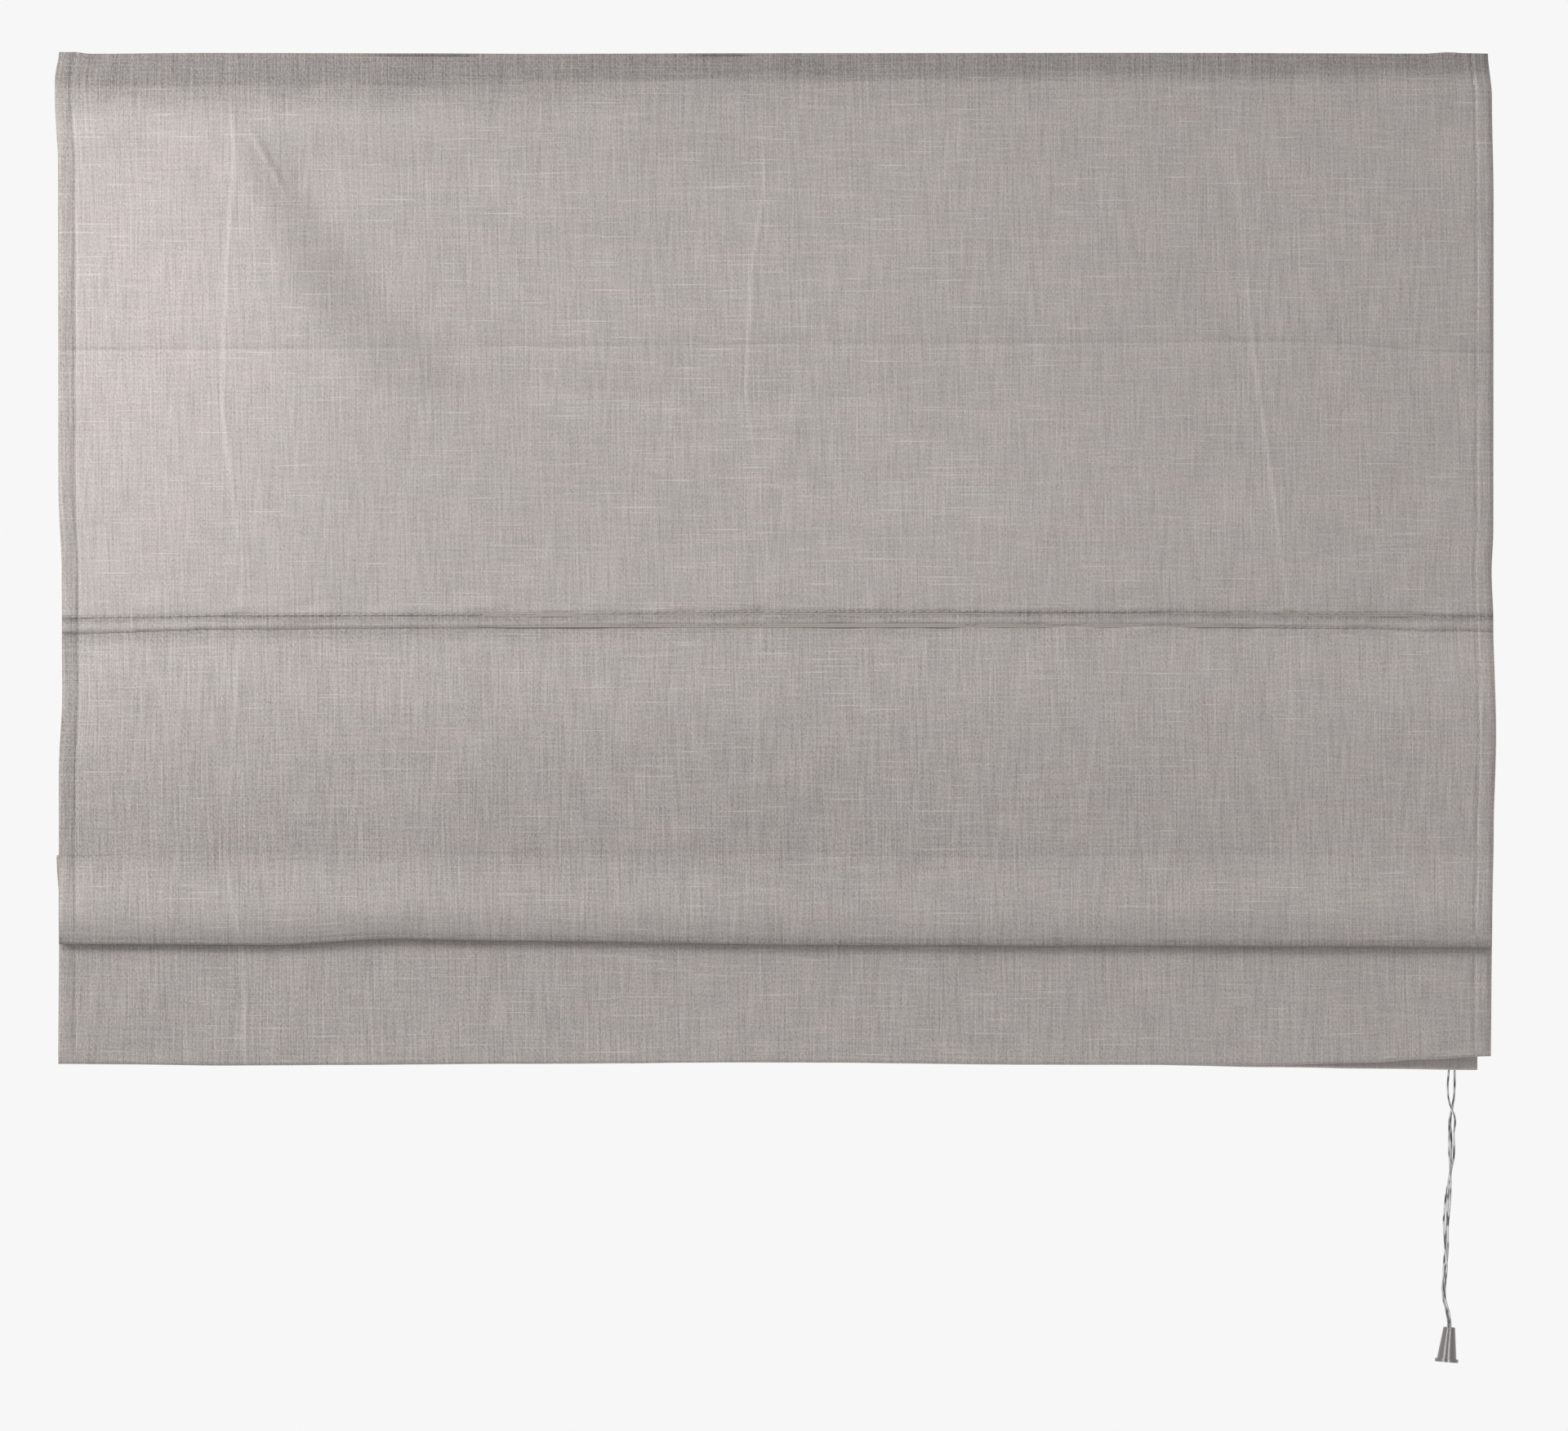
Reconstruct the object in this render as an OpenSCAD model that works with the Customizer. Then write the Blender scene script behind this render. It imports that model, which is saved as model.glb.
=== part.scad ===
// Roman blind, drawn up part of the way: one folded cloth on a screwed-up batten, stiffened by
// three rods, lifted by three cords that run through rings, screw eyes and a cord lock to a tassel.
// Frame: X across the window, Y towards the wall, Z up. The origin lies on the batten's top face,
// midway between its two screw holes.

/* [Cloth] */
// Width of the cloth
cloth_w = 1200; // [1190:1:1240]
// Thickness of the cloth
cloth_t = 0.8; // [0.6:0.05:1]
// Width of the doubled hem down each side
side_hem_w = 14; // [12:1:18]
// Step from the batten's top face down to the cloth's top edge
head_step = 0.5; // [0.2:0.1:2]
// Drop from the batten's top face to the upper rod
upper_drop = 474; // [440:1:520]
// How far the middle rod hangs below the upper rod
middle_gap = 74; // [66:1:86]
// How far the lower rod hangs below the middle rod
lower_gap = 124; // [112:1:136]
// Length of cloth between two rods
rod_pitch = 470; // [440:1:490]
// Length of cloth below the lower rod
bottom_panel = 172; // [160:1:190]
// Height of the turned hem at the bottom edge
hem_h = 38; // [34:1:50]
// Spacing of the two legs at the bottom of the front fold
front_fold_gap = 6; // [5:0.1:7]
// Spacing of the two legs at the bottom of the rear fold
rear_fold_gap = 5.4; // [5:0.1:6]
// Free depth between the front fold and the rear fold
fold_space = 2; // [1.6:0.1:3]

/* [Batten] */
// Length of the batten
batten_l = 1190; // [1190:1:1220]
// Depth of the batten from front to wall
batten_d = 38; // [38:0.5:42]
// Height of the batten
batten_h = 27; // [26.5:0.1:27.5]
// Diameter of the two screw holes
screw_hole_d = 5; // [4:0.1:6]
// Distance between the two screw holes
screw_hole_spacing = 800; // [600:10:820]
// Diameter of the countersinks under the batten
countersink_d = 10; // [8:0.5:12]
// Width of the hook tape and of the loop tape
grip_tape_w = 25; // [20:0.5:25]
// Thickness of the hook tape and of the loop tape
grip_tape_t = 1.2; // [1:0.1:1.6]

/* [Rods and rings] */
// Diameter of the three rods
rod_d = 5; // [4:0.1:5.4]
// Distance from the rods' axes to the batten's middle plane, towards the room
rod_forward = 3.2; // [3:0.1:4]
// Thickness of the pocket tape round each rod
pocket_t = 0.6; // [0.4:0.05:0.8]
// Height of the pocket tape when flat on the cloth
pocket_w = 12.4; // [12:0.1:13]
// Distance of the two outer lift lines from the middle one
lift_line = 440; // [439.7:0.1:440.3]
// Outer diameter of the rings
ring_d = 14; // [13.6:0.1:14.4]
// Thickness of the rings
ring_wire = 2; // [1.6:0.1:2.4]
// Bore of the lowest rings, which the knots can't pass
low_ring_bore = 4.4; // [4:0.1:4.8]
// Height of the bar in the bottom hem
bar_h = 30; // [20:1:32]
// Thickness of the bar in the bottom hem
bar_t = 2; // [1.5:0.1:3]

/* [Cord fittings] */
// Diameter of the wire of a screw eye
eye_wire = 2.2; // [2:0.1:2.3]
// Inner diameter of a screw eye
eye_bore = 8.8; // [8.7:0.1:9.4]
// Neck of a screw eye that shows below the batten
eye_neck = 2; // [1.8:0.1:2.2]
// Length of a screw eye's shank in the batten
eye_shank = 14; // [8:1:20]
// Length of the cord lock's housing along the batten
lock_l = 24; // [23:0.5:26]
// Height of the cord lock's housing
lock_h = 30; // [29:0.5:34]
// Width of the cord lock's housing
lock_w = 14; // [13:0.1:14.6]
// Wall of the cord lock's housing
lock_wall = 2; // [1.6:0.1:2.2]
// Thickness of the cord lock's screw flange
lock_flange_t = 2.5; // [2:0.1:3]
// Length of each ear of the screw flange
lock_ear = 11; // [10:0.5:14]
// Diameter of the fixed guide bar
guide_bar_d = 4; // [3:0.1:4.1]
// Diameter of the knurled locking pin
lock_pin_d = 4.4; // [4:0.1:4.6]
// Diameter of the locking pin's smooth ends
lock_pin_end_d = 3; // [2:0.1:3.4]
// Travel of the locking pin up its slanted slots
lock_travel = 5; // [3:0.1:5.4]
// Slant of the slots from the vertical
lock_slant = 30; // [20:1:35]
// Diameter of the cord lock's screws
lock_screw_d = 2.8; // [2:0.1:3.2]

/* [Tassel] */
// Height of the tassel
tassel_h = 29.4; // [26:0.2:34]
// Diameter at the tassel's top
tassel_top_d = 9.8; // [9:0.1:12]
// Diameter at the tassel's foot, above its flange
tassel_foot_d = 16.5; // [15:0.1:20]
// Diameter of the tassel's flange
tassel_flange_d = 19.8; // [18:0.1:24]
// Height of the tassel's flange
tassel_flange_h = 2.8; // [2:0.1:4]
// Wall of the tassel
tassel_wall = 1.4; // [1:0.1:1.5]
// Diameter of the cord hole in the tassel's top
tassel_hole_d = 5.2; // [5:0.1:6]
// Lean of the tassel to the left
tassel_lean = 4.8; // [4.5:0.1:5.1]

/* [Hidden] */
$fn = 48;

// Clearances
soft_fit = 0.3;
ring_seat = 0.2;
hole_fit = 0.05;
slot_fit = 0.1;
bend_fit = 0.35;
overcut = 1;

// Depths, towards the wall
rod_y = -rod_forward;
head_y = -batten_d / 2 - 2 * grip_tape_t - cloth_t / 2;
seam_y = rod_y - rod_d / 2 - soft_fit - cloth_t / 2;
crest_r = 1.2;
crest_half = pocket_w / 2 + 1;
crest_front_y = rod_y - crest_half;
crest_back_y = rod_y + crest_half;
rear_fold_y = crest_front_y - rear_fold_gap;
front_back_y = rear_fold_y - cloth_t - fold_space;
front_fold_y = front_back_y - front_fold_gap;
belly_y = front_fold_y + front_fold_gap / 2;
hem_gap = bar_t + 2 * soft_fit + cloth_t;
lift_y = rod_y + rod_d / 2 + soft_fit + pocket_t + ring_seat + ring_d / 2;

// Heights of the cloth's middle surface
upper_z = -upper_drop;
middle_z = upper_z - middle_gap;
lower_z = middle_z - lower_gap;
front_fold_z = (upper_z + middle_z - rod_pitch) / 2 + cloth_t / 2;
rear_fold_z = (middle_z + lower_z - rod_pitch) / 2 + cloth_t / 2;
hem_z = lower_z - bottom_panel + cloth_t / 2;

// A rod lies on the cloth's back: beside it at the upper seam, on top of it at a crest
crest_rod_rise = cloth_t / 2 + soft_fit + rod_d / 2;
middle_rod_z = middle_z + crest_rod_rise;
lower_rod_z = lower_z + crest_rod_rise;
rod_l = cloth_w - 2 * side_hem_w - 2;

// The folded cloth seen from its side: depth, height and bend radius of each corner
seam_straight = 20;
arc_step = 15;
cloth_corners = [
    [head_y, -head_step, 0],
    [head_y, -batten_h - 4, 120],
    [seam_y, upper_z + seam_straight, 60],
    [seam_y, upper_z - 0.6 * seam_straight, 25],
    [belly_y, upper_z - 70, 160],
    [front_fold_y, front_fold_z, 0.49 * front_fold_gap],
    [front_back_y, front_fold_z, 0.49 * front_fold_gap],
    [front_back_y, lower_z + 30, 80],
    [crest_front_y, middle_z - 25, 60],
    [crest_front_y, middle_z, crest_r],
    [crest_back_y, middle_z, crest_r],
    [crest_back_y, middle_z - 20, 40],
    [rear_fold_y, lower_z + 20, 80],
    [rear_fold_y, rear_fold_z, 0.49 * rear_fold_gap],
    [crest_front_y, rear_fold_z, 0.49 * rear_fold_gap],
    [crest_front_y, lower_z, crest_r],
    [crest_back_y, lower_z, crest_r],
    [crest_back_y, hem_z, 0.49 * hem_gap],
    [crest_back_y + hem_gap, hem_z, 0.49 * hem_gap],
    [crest_back_y + hem_gap, hem_z + hem_h, 0]
];

// Cord lock: the cords run over the guide bar and drop between the anvil and the locking pin
cord_d = 1.8;
cord_run_z = -38;
cord_drop_x = 567;
lock_y = 11.5;
guide_bar_x = cord_drop_x - cord_d / 2 - bend_fit - guide_bar_d / 2;
guide_bar_z = cord_run_z - cord_d / 2 - bend_fit - guide_bar_d / 2;
lock_x0 = cord_drop_x - 11;
lock_x1 = lock_x0 + lock_l;
lock_pin_x = cord_drop_x + cord_d / 2 + 0.2 + lock_pin_d / 2;
lock_pin_z = cord_run_z - 11.5;
anvil_x = cord_drop_x - cord_d / 2 - soft_fit;
anvil_t = 5;
lock_head_d = 2 * lock_screw_d;
lock_head_h = 1.8;
lock_screw_l = 10;
lock_screw_x = [lock_x0 - 0.6 * lock_ear, lock_x1 + 0.6 * lock_ear];

// Screw eyes: each cord comes up in its lift line and bends over the bottom of the eye
eye_ring_r = eye_bore / 2 + eye_wire / 2;
eye_z = -batten_h - eye_neck - eye_ring_r - eye_wire / 2;
eye_shift = 2.4;

// Routes of the lift cords, from below the lowest ring to the mouth of the lock
lift_cord_left_route = [
    [-440, 7.4, -678], [-440, 7.4, -300], [-440, 7.4, -41.1], [-439.3, 7.4, -39.4], [-437.6, 7.4, -38.7],
    [-430, 7.3, -38.2], [-40, 5.4, -38], [0, 5.3, -38], [440, 5.3, -38], [480, 5.7, -38],
    [540, 9.2, -38], [563.7, 9.4, -38], [566.1, 9.4, -38.9], [567, 9.4, -41.3], [567, 9.4, -44]
];
lift_cord_middle_route = [
    [0, 7.4, -678], [0, 7.4, -300], [0, 7.4, -41.1], [0.7, 7.4, -39.4], [2.4, 7.4, -38.7],
    [10, 7.5, -38.2], [400, 9.4, -38], [440, 9.5, -38], [480, 9.9, -38],
    [540, 13.4, -38], [563.7, 13.6, -38], [566.1, 13.6, -38.9], [567, 13.6, -41.3], [567, 13.6, -44]
];
lift_cord_right_route = [
    [440, 7.4, -678], [440, 7.4, -300], [440, 7.4, -41.1], [440.7, 7.4, -39.4], [442.4, 7.4, -38.7],
    [450, 7.4, -38.2], [480, 7.8, -38],
    [540, 11.3, -38], [563.7, 11.5, -38], [566.1, 11.5, -38.9], [567, 11.5, -41.3], [567, 11.5, -44]
];

// Routes of the pull cords, from the lock to the knot in the tassel
pull_cord_left_route = [
    [567, 9.4, -44], [567, 9.4, -120], [567, 9.5, -300], [565.8, 9.6, -700], [564.2, 10, -851],
    [563.2, 10, -866], [563.8, 9.6, -875], [566, 9.2, -883], [568.6, 9.6, -889], [569.4, 10, -895],
    [568.2, 10.8, -904], [568.6, 11.4, -914], [568.2, 11.3, -925], [566, 11.4, -936], [564.2, 11.4, -948],
    [563.4, 11.6, -960], [562.2, 12.4, -985], [561.1, 12.4, -1000], [559.9, 10.7, -1018],
    [559.3, 9.9, -1030], [561, 10.1, -1042], [564.2, 11, -1055],
    [565.5, 10.6, -1064], [565.3, 10.6, -1069.5]
];
pull_cord_right_route = [
    [567, 11.5, -44], [567, 11.5, -120], [567.4, 11.5, -300], [568.4, 11.5, -700], [569, 11.2, -851],
    [569, 11.1, -866], [568.2, 11.3, -875], [566.4, 11.5, -883], [565, 11.4, -889], [564.6, 11, -895],
    [564.4, 10.6, -904], [564.2, 10.2, -914], [564.6, 9.8, -925], [565.4, 9.2, -936], [565.6, 9.2, -948],
    [565.2, 9.6, -960], [563.2, 9.8, -985], [563.4, 11.7, -1000], [561.5, 12.6, -1018],
    [558.9, 12.3, -1030], [559.1, 11.2, -1042], [562.2, 10.2, -1055],
    [563.5, 10.6, -1064], [563.3, 10.6, -1069.5]
];
pull_cord_middle_route = [
    [567, 13.6, -44], [567, 13.6, -120], [567.4, 13.6, -300], [568.4, 13.6, -700], [569, 13.4, -851],
    [569, 13.3, -866], [568.4, 13.5, -875], [567.2, 13.8, -883], [566, 13.6, -889], [565.6, 13.2, -895],
    [566, 12.8, -904], [566.4, 12.4, -914], [566, 12.8, -925], [565.5, 13.5, -936], [563, 13.4, -948],
    [561.4, 12.4, -960], [559.8, 11.2, -985], [561.2, 9.9, -1000], [562.3, 10.3, -1018],
    [561.2, 11.4, -1030], [561, 12.3, -1042], [562.6, 12.4, -1055],
    [564.5, 12.4, -1064], [564.3, 12.4, -1069.5]
];

// Tassel, hung on the pull cords
tassel_at = [564.6, 11.2, -1066.7];
tassel_roof = 3;
tassel_knot_r = 3.2;
tassel_knot_flat = 1.2;
lift_knot_r = 2.6;
lift_knot_bore = cord_d + 2 * hole_fit;

// Vector helpers
function unit(v) = v / norm(v);
function spun(v, angle) = [v.x * cos(angle) - v.y * sin(angle), v.x * sin(angle) + v.y * cos(angle)];
function flat(corner) = [corner.x, corner.y];
function turn_between(u, v) = atan2(u.x * v.y - u.y * v.x, u * v);

// Arc that rounds corner b of the path a, b, c
function corner_arc(a, b, c, r) =
    let (u = unit(b - a), v = unit(c - b), angle = turn_between(u, v))
    let (inward = sign(angle) * [-u.y, u.x], steps = max(4, ceil(abs(angle) / arc_step)))
    let (centre = b - u * r * tan(abs(angle) / 2) + inward * r)
    [for (k = [0:steps]) centre + spun(-inward * r, angle * k / steps)];

// Path with every inner corner rounded
function rounded(corners) = [
    flat(corners[0]),
    for (i = [1:len(corners) - 2])
        each corner_arc(flat(corners[i - 1]), flat(corners[i]), flat(corners[i + 1]), corners[i][2]),
    flat(corners[len(corners) - 1])
];

// Left-hand normal of the path's segment i
function side_of(path, i) = let (u = unit(path[i + 1] - path[i])) [-u.y, u.x];

// Point i of the path, moved sideways by d
function moved(path, i, d) =
    let (before = side_of(path, max(i - 1, 0)), after = side_of(path, min(i, len(path) - 2)))
    let (mid = unit(before + after))
    path[i] + mid * d / (mid * before);

// Closed outline of a sheet that lies from d0 to d1 beside the path
function sheet_outline(path, d0, d1) = concat(
    [for (i = [0:len(path) - 1]) moved(path, i, d0)],
    [for (i = [len(path) - 1:-1:0]) moved(path, i, d1)]
);

// Direction of a route at its point i
function heading(route, i) = unit(route[min(i + 1, len(route) - 1)] - route[max(i - 1, 0)]);

// Ring of points round point i of a route
function cord_ring(route, i, sides) =
    let (t = heading(route, i), a = unit(cross(t, [0, 1, 0])), b = cross(a, t))
    [for (k = [0:sides - 1]) route[i] + (a * cos(360 * k / sides) + b * sin(360 * k / sides)) * cord_d / 2];

// Section drawn in depth and height, stretched along X and centred
module across(length, at = 0) {
    translate([at, 0, 0])
        rotate([90, 0, 90])
            linear_extrude(length, center = true)
                children();
}

module torus(ring_r, wire_r) {
    rotate_extrude()
        translate([ring_r, 0])
            circle(wire_r, $fn = 24);
}

// Round cord along a route
module cord(route, sides = 8) {
    n = len(route);
    points = [for (i = [0:n - 1]) each cord_ring(route, i, sides)];
    walls = [
        for (i = [0:n - 2], k = [0:sides - 1])
            let (a = i * sides + k, b = i * sides + (k + 1) % sides)
            each [[a, b, a + sides], [b, b + sides, a + sides]]
    ];
    first = [for (k = [sides - 1:-1:0]) k];
    last = [for (k = [0:sides - 1]) (n - 1) * sides + k];
    color("#b9b6b4")
        polyhedron(points, concat([first], walls, [last]));
}

// Tape sewn flat at both edges, with a tunnel for a rod: the cloth's surface is at height 0
module pocket_tape() {
    arch_r = rod_d / 2 + soft_fit + pocket_t;
    axis_h = rod_d / 2 + soft_fit;
    color("#a9a29a")
        across(rod_l)
            difference() {
                union() {
                    translate([-pocket_w / 2, 0])
                        square([pocket_w, pocket_t]);
                    translate([-arch_r, 0])
                        square([2 * arch_r, axis_h]);
                    translate([0, axis_h])
                        circle(arch_r);
                }
                translate([-axis_h, -overcut])
                    square([2 * axis_h, axis_h + overcut]);
                translate([0, axis_h])
                    circle(axis_h);
            }
}

// Stiffening rod with its ends rounded off
module rod_at(z) {
    tip = 0.6;
    color("#e6e3da")
        translate([0, rod_y, z])
            rotate([0, 90, 0]) {
                cylinder(h = rod_l - 2 * tip, d = rod_d, center = true);
                for (side = [0, 1])
                    mirror([0, 0, side])
                        translate([0, 0, rod_l / 2 - tip])
                            cylinder(h = tip, d1 = rod_d, d2 = rod_d - 2 * tip);
            }
}

// Rings behind a rod, one in each lift line
module rings_at(z) {
    color("#f1efe9")
        for (x = [-lift_line, 0, lift_line])
            translate([x, lift_y, z])
                torus(ring_d / 2 - ring_wire / 2, ring_wire / 2);
}

module head_batten() {
    color("#d8b98c")
        difference() {
            translate([-batten_l / 2, -batten_d / 2, -batten_h])
                cube([batten_l, batten_d, batten_h]);
            for (x = [-screw_hole_spacing / 2, screw_hole_spacing / 2]) {
                translate([x, 0, -batten_h - overcut])
                    cylinder(h = batten_h + 2 * overcut, d = screw_hole_d);
                translate([x, 0, -batten_h])
                    cylinder(h = (countersink_d - screw_hole_d) / 2, d1 = countersink_d, d2 = screw_hole_d);
            }
            for (x = [-lift_line, 0, lift_line])
                translate([x + eye_shift, lift_y, -batten_h - overcut])
                    cylinder(h = eye_shank + 2 * overcut, d = eye_wire + 2 * hole_fit);
            for (x = lock_screw_x)
                translate([x, lock_y, -batten_h - overcut])
                    cylinder(h = lock_screw_l + 2 * overcut, d = lock_screw_d + 2 * hole_fit);
        }
}

// Strip along the batten's front, the given number of tape layers away from it
module grip_tape(layer) {
    translate([-rod_l / 2, -batten_d / 2 - (layer + 1) * grip_tape_t, -(batten_h + grip_tape_w) / 2])
        cube([rod_l, grip_tape_t, grip_tape_w]);
}

module hook_tape() {
    color("#e9e7e2")
        grip_tape(0);
}

module loop_tape() {
    color("#d9d6d0")
        grip_tape(1);
}

// One length of cloth along the folded path
module cloth() {
    color("#b0aaa7")
        across(cloth_w)
            polygon(sheet_outline(rounded(cloth_corners), -cloth_t / 2, cloth_t / 2));
}

module upper_pocket() {
    translate([0, seam_y + cloth_t / 2, upper_z])
        rotate([-90, 0, 0])
            pocket_tape();
}

module middle_pocket() {
    translate([0, rod_y, middle_z + cloth_t / 2])
        pocket_tape();
}

module lower_pocket() {
    translate([0, rod_y, lower_z + cloth_t / 2])
        pocket_tape();
}

// Flat rings with a small bore, which carry the knots of the lift cords
module lower_rings() {
    color("#f1efe9")
        for (x = [-lift_line, 0, lift_line])
            translate([x, lift_y, lower_rod_z])
                rotate_extrude()
                    translate([low_ring_bore / 2, -ring_wire / 2])
                        square([ring_d / 2 - low_ring_bore / 2, ring_wire]);
}

// Flat weight bar inside the turned bottom hem
module bottom_bar() {
    color("#c9cacb")
        translate([-rod_l / 2, crest_back_y + hem_gap / 2 - bar_t / 2, hem_z + hem_gap / 2])
            cube([rod_l, bar_t, bar_h]);
}

// Bent wire eye with its shank in the batten, across the run of the cords
module screw_eye(x) {
    shank_foot = eye_z + eye_ring_r;
    color("#b7b8ba")
        translate([x + eye_shift, lift_y, 0]) {
            translate([0, 0, eye_z])
                rotate([0, 90, 0])
                    torus(eye_ring_r, eye_wire / 2);
            translate([0, 0, shank_foot])
                cylinder(h = -batten_h + eye_shank - shank_foot, d = eye_wire);
        }
}

// Slanted slot for the locking pin's ends, through both cheeks
module lock_slot() {
    slot_r = lock_pin_end_d / 2 + slot_fit;
    translate([lock_pin_x, lock_y, lock_pin_z])
        rotate([0, lock_slant, 0])
            rotate([90, 0, 0]) {
                cylinder(h = lock_w + 2 * overcut, r = slot_r, center = true);
                translate([0, lock_travel, 0])
                    cylinder(h = lock_w + 2 * overcut, r = slot_r, center = true);
                translate([-slot_r, 0, -lock_w / 2 - overcut])
                    cube([2 * slot_r, lock_travel, lock_w + 2 * overcut]);
            }
}

// Moulded housing: a screw flange, two cheeks, an end wall and the anvil that the cords jam on
module cord_lock_housing() {
    throat_w = lock_w - 2 * lock_wall;
    roof_z = -batten_h - lock_flange_t;
    foot_z = -batten_h - lock_h;
    anvil_top = guide_bar_z - guide_bar_d / 2 - 1;
    color("#f2f1ee")
        difference() {
            union() {
                translate([lock_x0 - lock_ear, lock_y - lock_w / 2, roof_z])
                    cube([lock_l + 2 * lock_ear, lock_w, lock_flange_t]);
                difference() {
                    translate([lock_x0, lock_y - lock_w / 2, foot_z])
                        cube([lock_l, lock_w, lock_h]);
                    translate([lock_x0 - overcut, lock_y - throat_w / 2, foot_z - overcut])
                        cube([lock_l - lock_wall + overcut, throat_w, roof_z - foot_z + overcut]);
                }
                translate([anvil_x - anvil_t, lock_y - throat_w / 2, foot_z])
                    cube([anvil_t, throat_w, anvil_top - foot_z]);
            }
            translate([guide_bar_x, lock_y, guide_bar_z])
                rotate([90, 0, 0])
                    cylinder(h = lock_w + 2 * overcut, d = guide_bar_d + 2 * hole_fit, center = true);
            lock_slot();
            for (x = lock_screw_x)
                translate([x, lock_y, roof_z - overcut])
                    cylinder(h = lock_flange_t + 2 * overcut, d = lock_screw_d + 2 * slot_fit);
        }
}

module cord_lock_bar() {
    color("#bfc0c2")
        translate([guide_bar_x, lock_y, guide_bar_z])
            rotate([90, 0, 0])
                cylinder(h = lock_w, d = guide_bar_d, center = true);
}

// Knurled pin that rides in the slanted slots and bites on the cords
module cord_lock_pin() {
    ridges = 16;
    knurl_depth = 0.3;
    knurl_l = lock_w - 2 * lock_wall - 2 * soft_fit;
    color("#c8a860")
        translate([lock_pin_x, lock_y, lock_pin_z])
            rotate([90, 0, 0]) {
                linear_extrude(knurl_l, center = true)
                    polygon([
                        for (k = [0:2 * ridges - 1])
                            (lock_pin_d / 2 - (k % 2) * knurl_depth)
                            * [cos(180 * k / ridges), sin(180 * k / ridges)]
                    ]);
                cylinder(h = lock_w, d = lock_pin_end_d, center = true);
            }
}

module cord_lock_screws() {
    color("#b7b8ba")
        for (x = lock_screw_x)
            translate([x, lock_y, -batten_h - lock_flange_t]) {
                cylinder(h = lock_flange_t + lock_screw_l, d = lock_screw_d);
                translate([0, 0, -lock_head_h])
                    cylinder(h = lock_head_h, d1 = 0.7 * lock_head_d, d2 = lock_head_d);
            }
}

// Knots below the lowest rings, with the cords' tails through them
module lift_knots() {
    wire_z = lower_rod_z - ring_wire / 2;
    seat = sqrt(pow(lift_knot_r, 2) - pow(low_ring_bore / 2, 2));
    color("#b9b6b4")
        for (x = [-lift_line, 0, lift_line])
            translate([x, lift_y, wire_z - seat - slot_fit])
                difference() {
                    sphere(lift_knot_r);
                    cylinder(h = 2 * lift_knot_r + overcut, d = lift_knot_bore, center = true);
                }
}

// Frame of the tassel: its axis points down from the cord hole
module at_tassel() {
    translate(tassel_at)
        rotate([0, tassel_lean, 0])
            children();
}

// Turned metal bell, hollow from below, with a foot flange and a cord hole
module tassel() {
    foot_z = -tassel_h + tassel_flange_h;
    top_r = tassel_top_d / 2;
    foot_r = tassel_foot_d / 2;
    color("#85827f")
        at_tassel()
            rotate_extrude()
                polygon([
                    [tassel_hole_d / 2, 0],
                    [top_r, 0],
                    [foot_r, foot_z],
                    [tassel_flange_d / 2, foot_z],
                    [tassel_flange_d / 2, -tassel_h],
                    [foot_r - tassel_wall, -tassel_h],
                    [foot_r - tassel_wall, foot_z],
                    [top_r - tassel_wall + 0.4, -tassel_roof],
                    [tassel_hole_d / 2, -tassel_roof]
                ]);
}

// Knot of the three pull cords, caught under the tassel's roof
module tassel_knot() {
    color("#b9b6b4")
        at_tassel()
            translate([0, 0, -tassel_roof - slot_fit - tassel_knot_r + tassel_knot_flat])
                difference() {
                    sphere(tassel_knot_r);
                    translate([-tassel_knot_r, -tassel_knot_r, tassel_knot_r - tassel_knot_flat])
                        cube(2 * tassel_knot_r);
                }
}

head_batten();
hook_tape();
loop_tape();
cloth();
rod_at(upper_z);  // upper_rod
rod_at(middle_rod_z);  // middle_rod
rod_at(lower_rod_z);  // lower_rod
upper_pocket();
middle_pocket();
lower_pocket();
rings_at(upper_z);  // upper_rings
rings_at(middle_rod_z);  // middle_rings
lower_rings();
bottom_bar();
screw_eye(-lift_line);  // screw_eye_left
screw_eye(0);  // screw_eye_middle
screw_eye(lift_line);  // screw_eye_right
cord_lock_housing();
cord_lock_bar();
cord_lock_pin();
cord_lock_screws();
cord(lift_cord_left_route);  // lift_cord_left
cord(lift_cord_middle_route);  // lift_cord_middle
cord(lift_cord_right_route);  // lift_cord_right
lift_knots();
cord(pull_cord_left_route);  // pull_cord_left
cord(pull_cord_middle_route);  // pull_cord_middle
cord(pull_cord_right_route);  // pull_cord_right
tassel();
tassel_knot();
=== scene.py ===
"""Looks of a roman blind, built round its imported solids: draped linen, cords, stitches and finishes."""
import math

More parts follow.
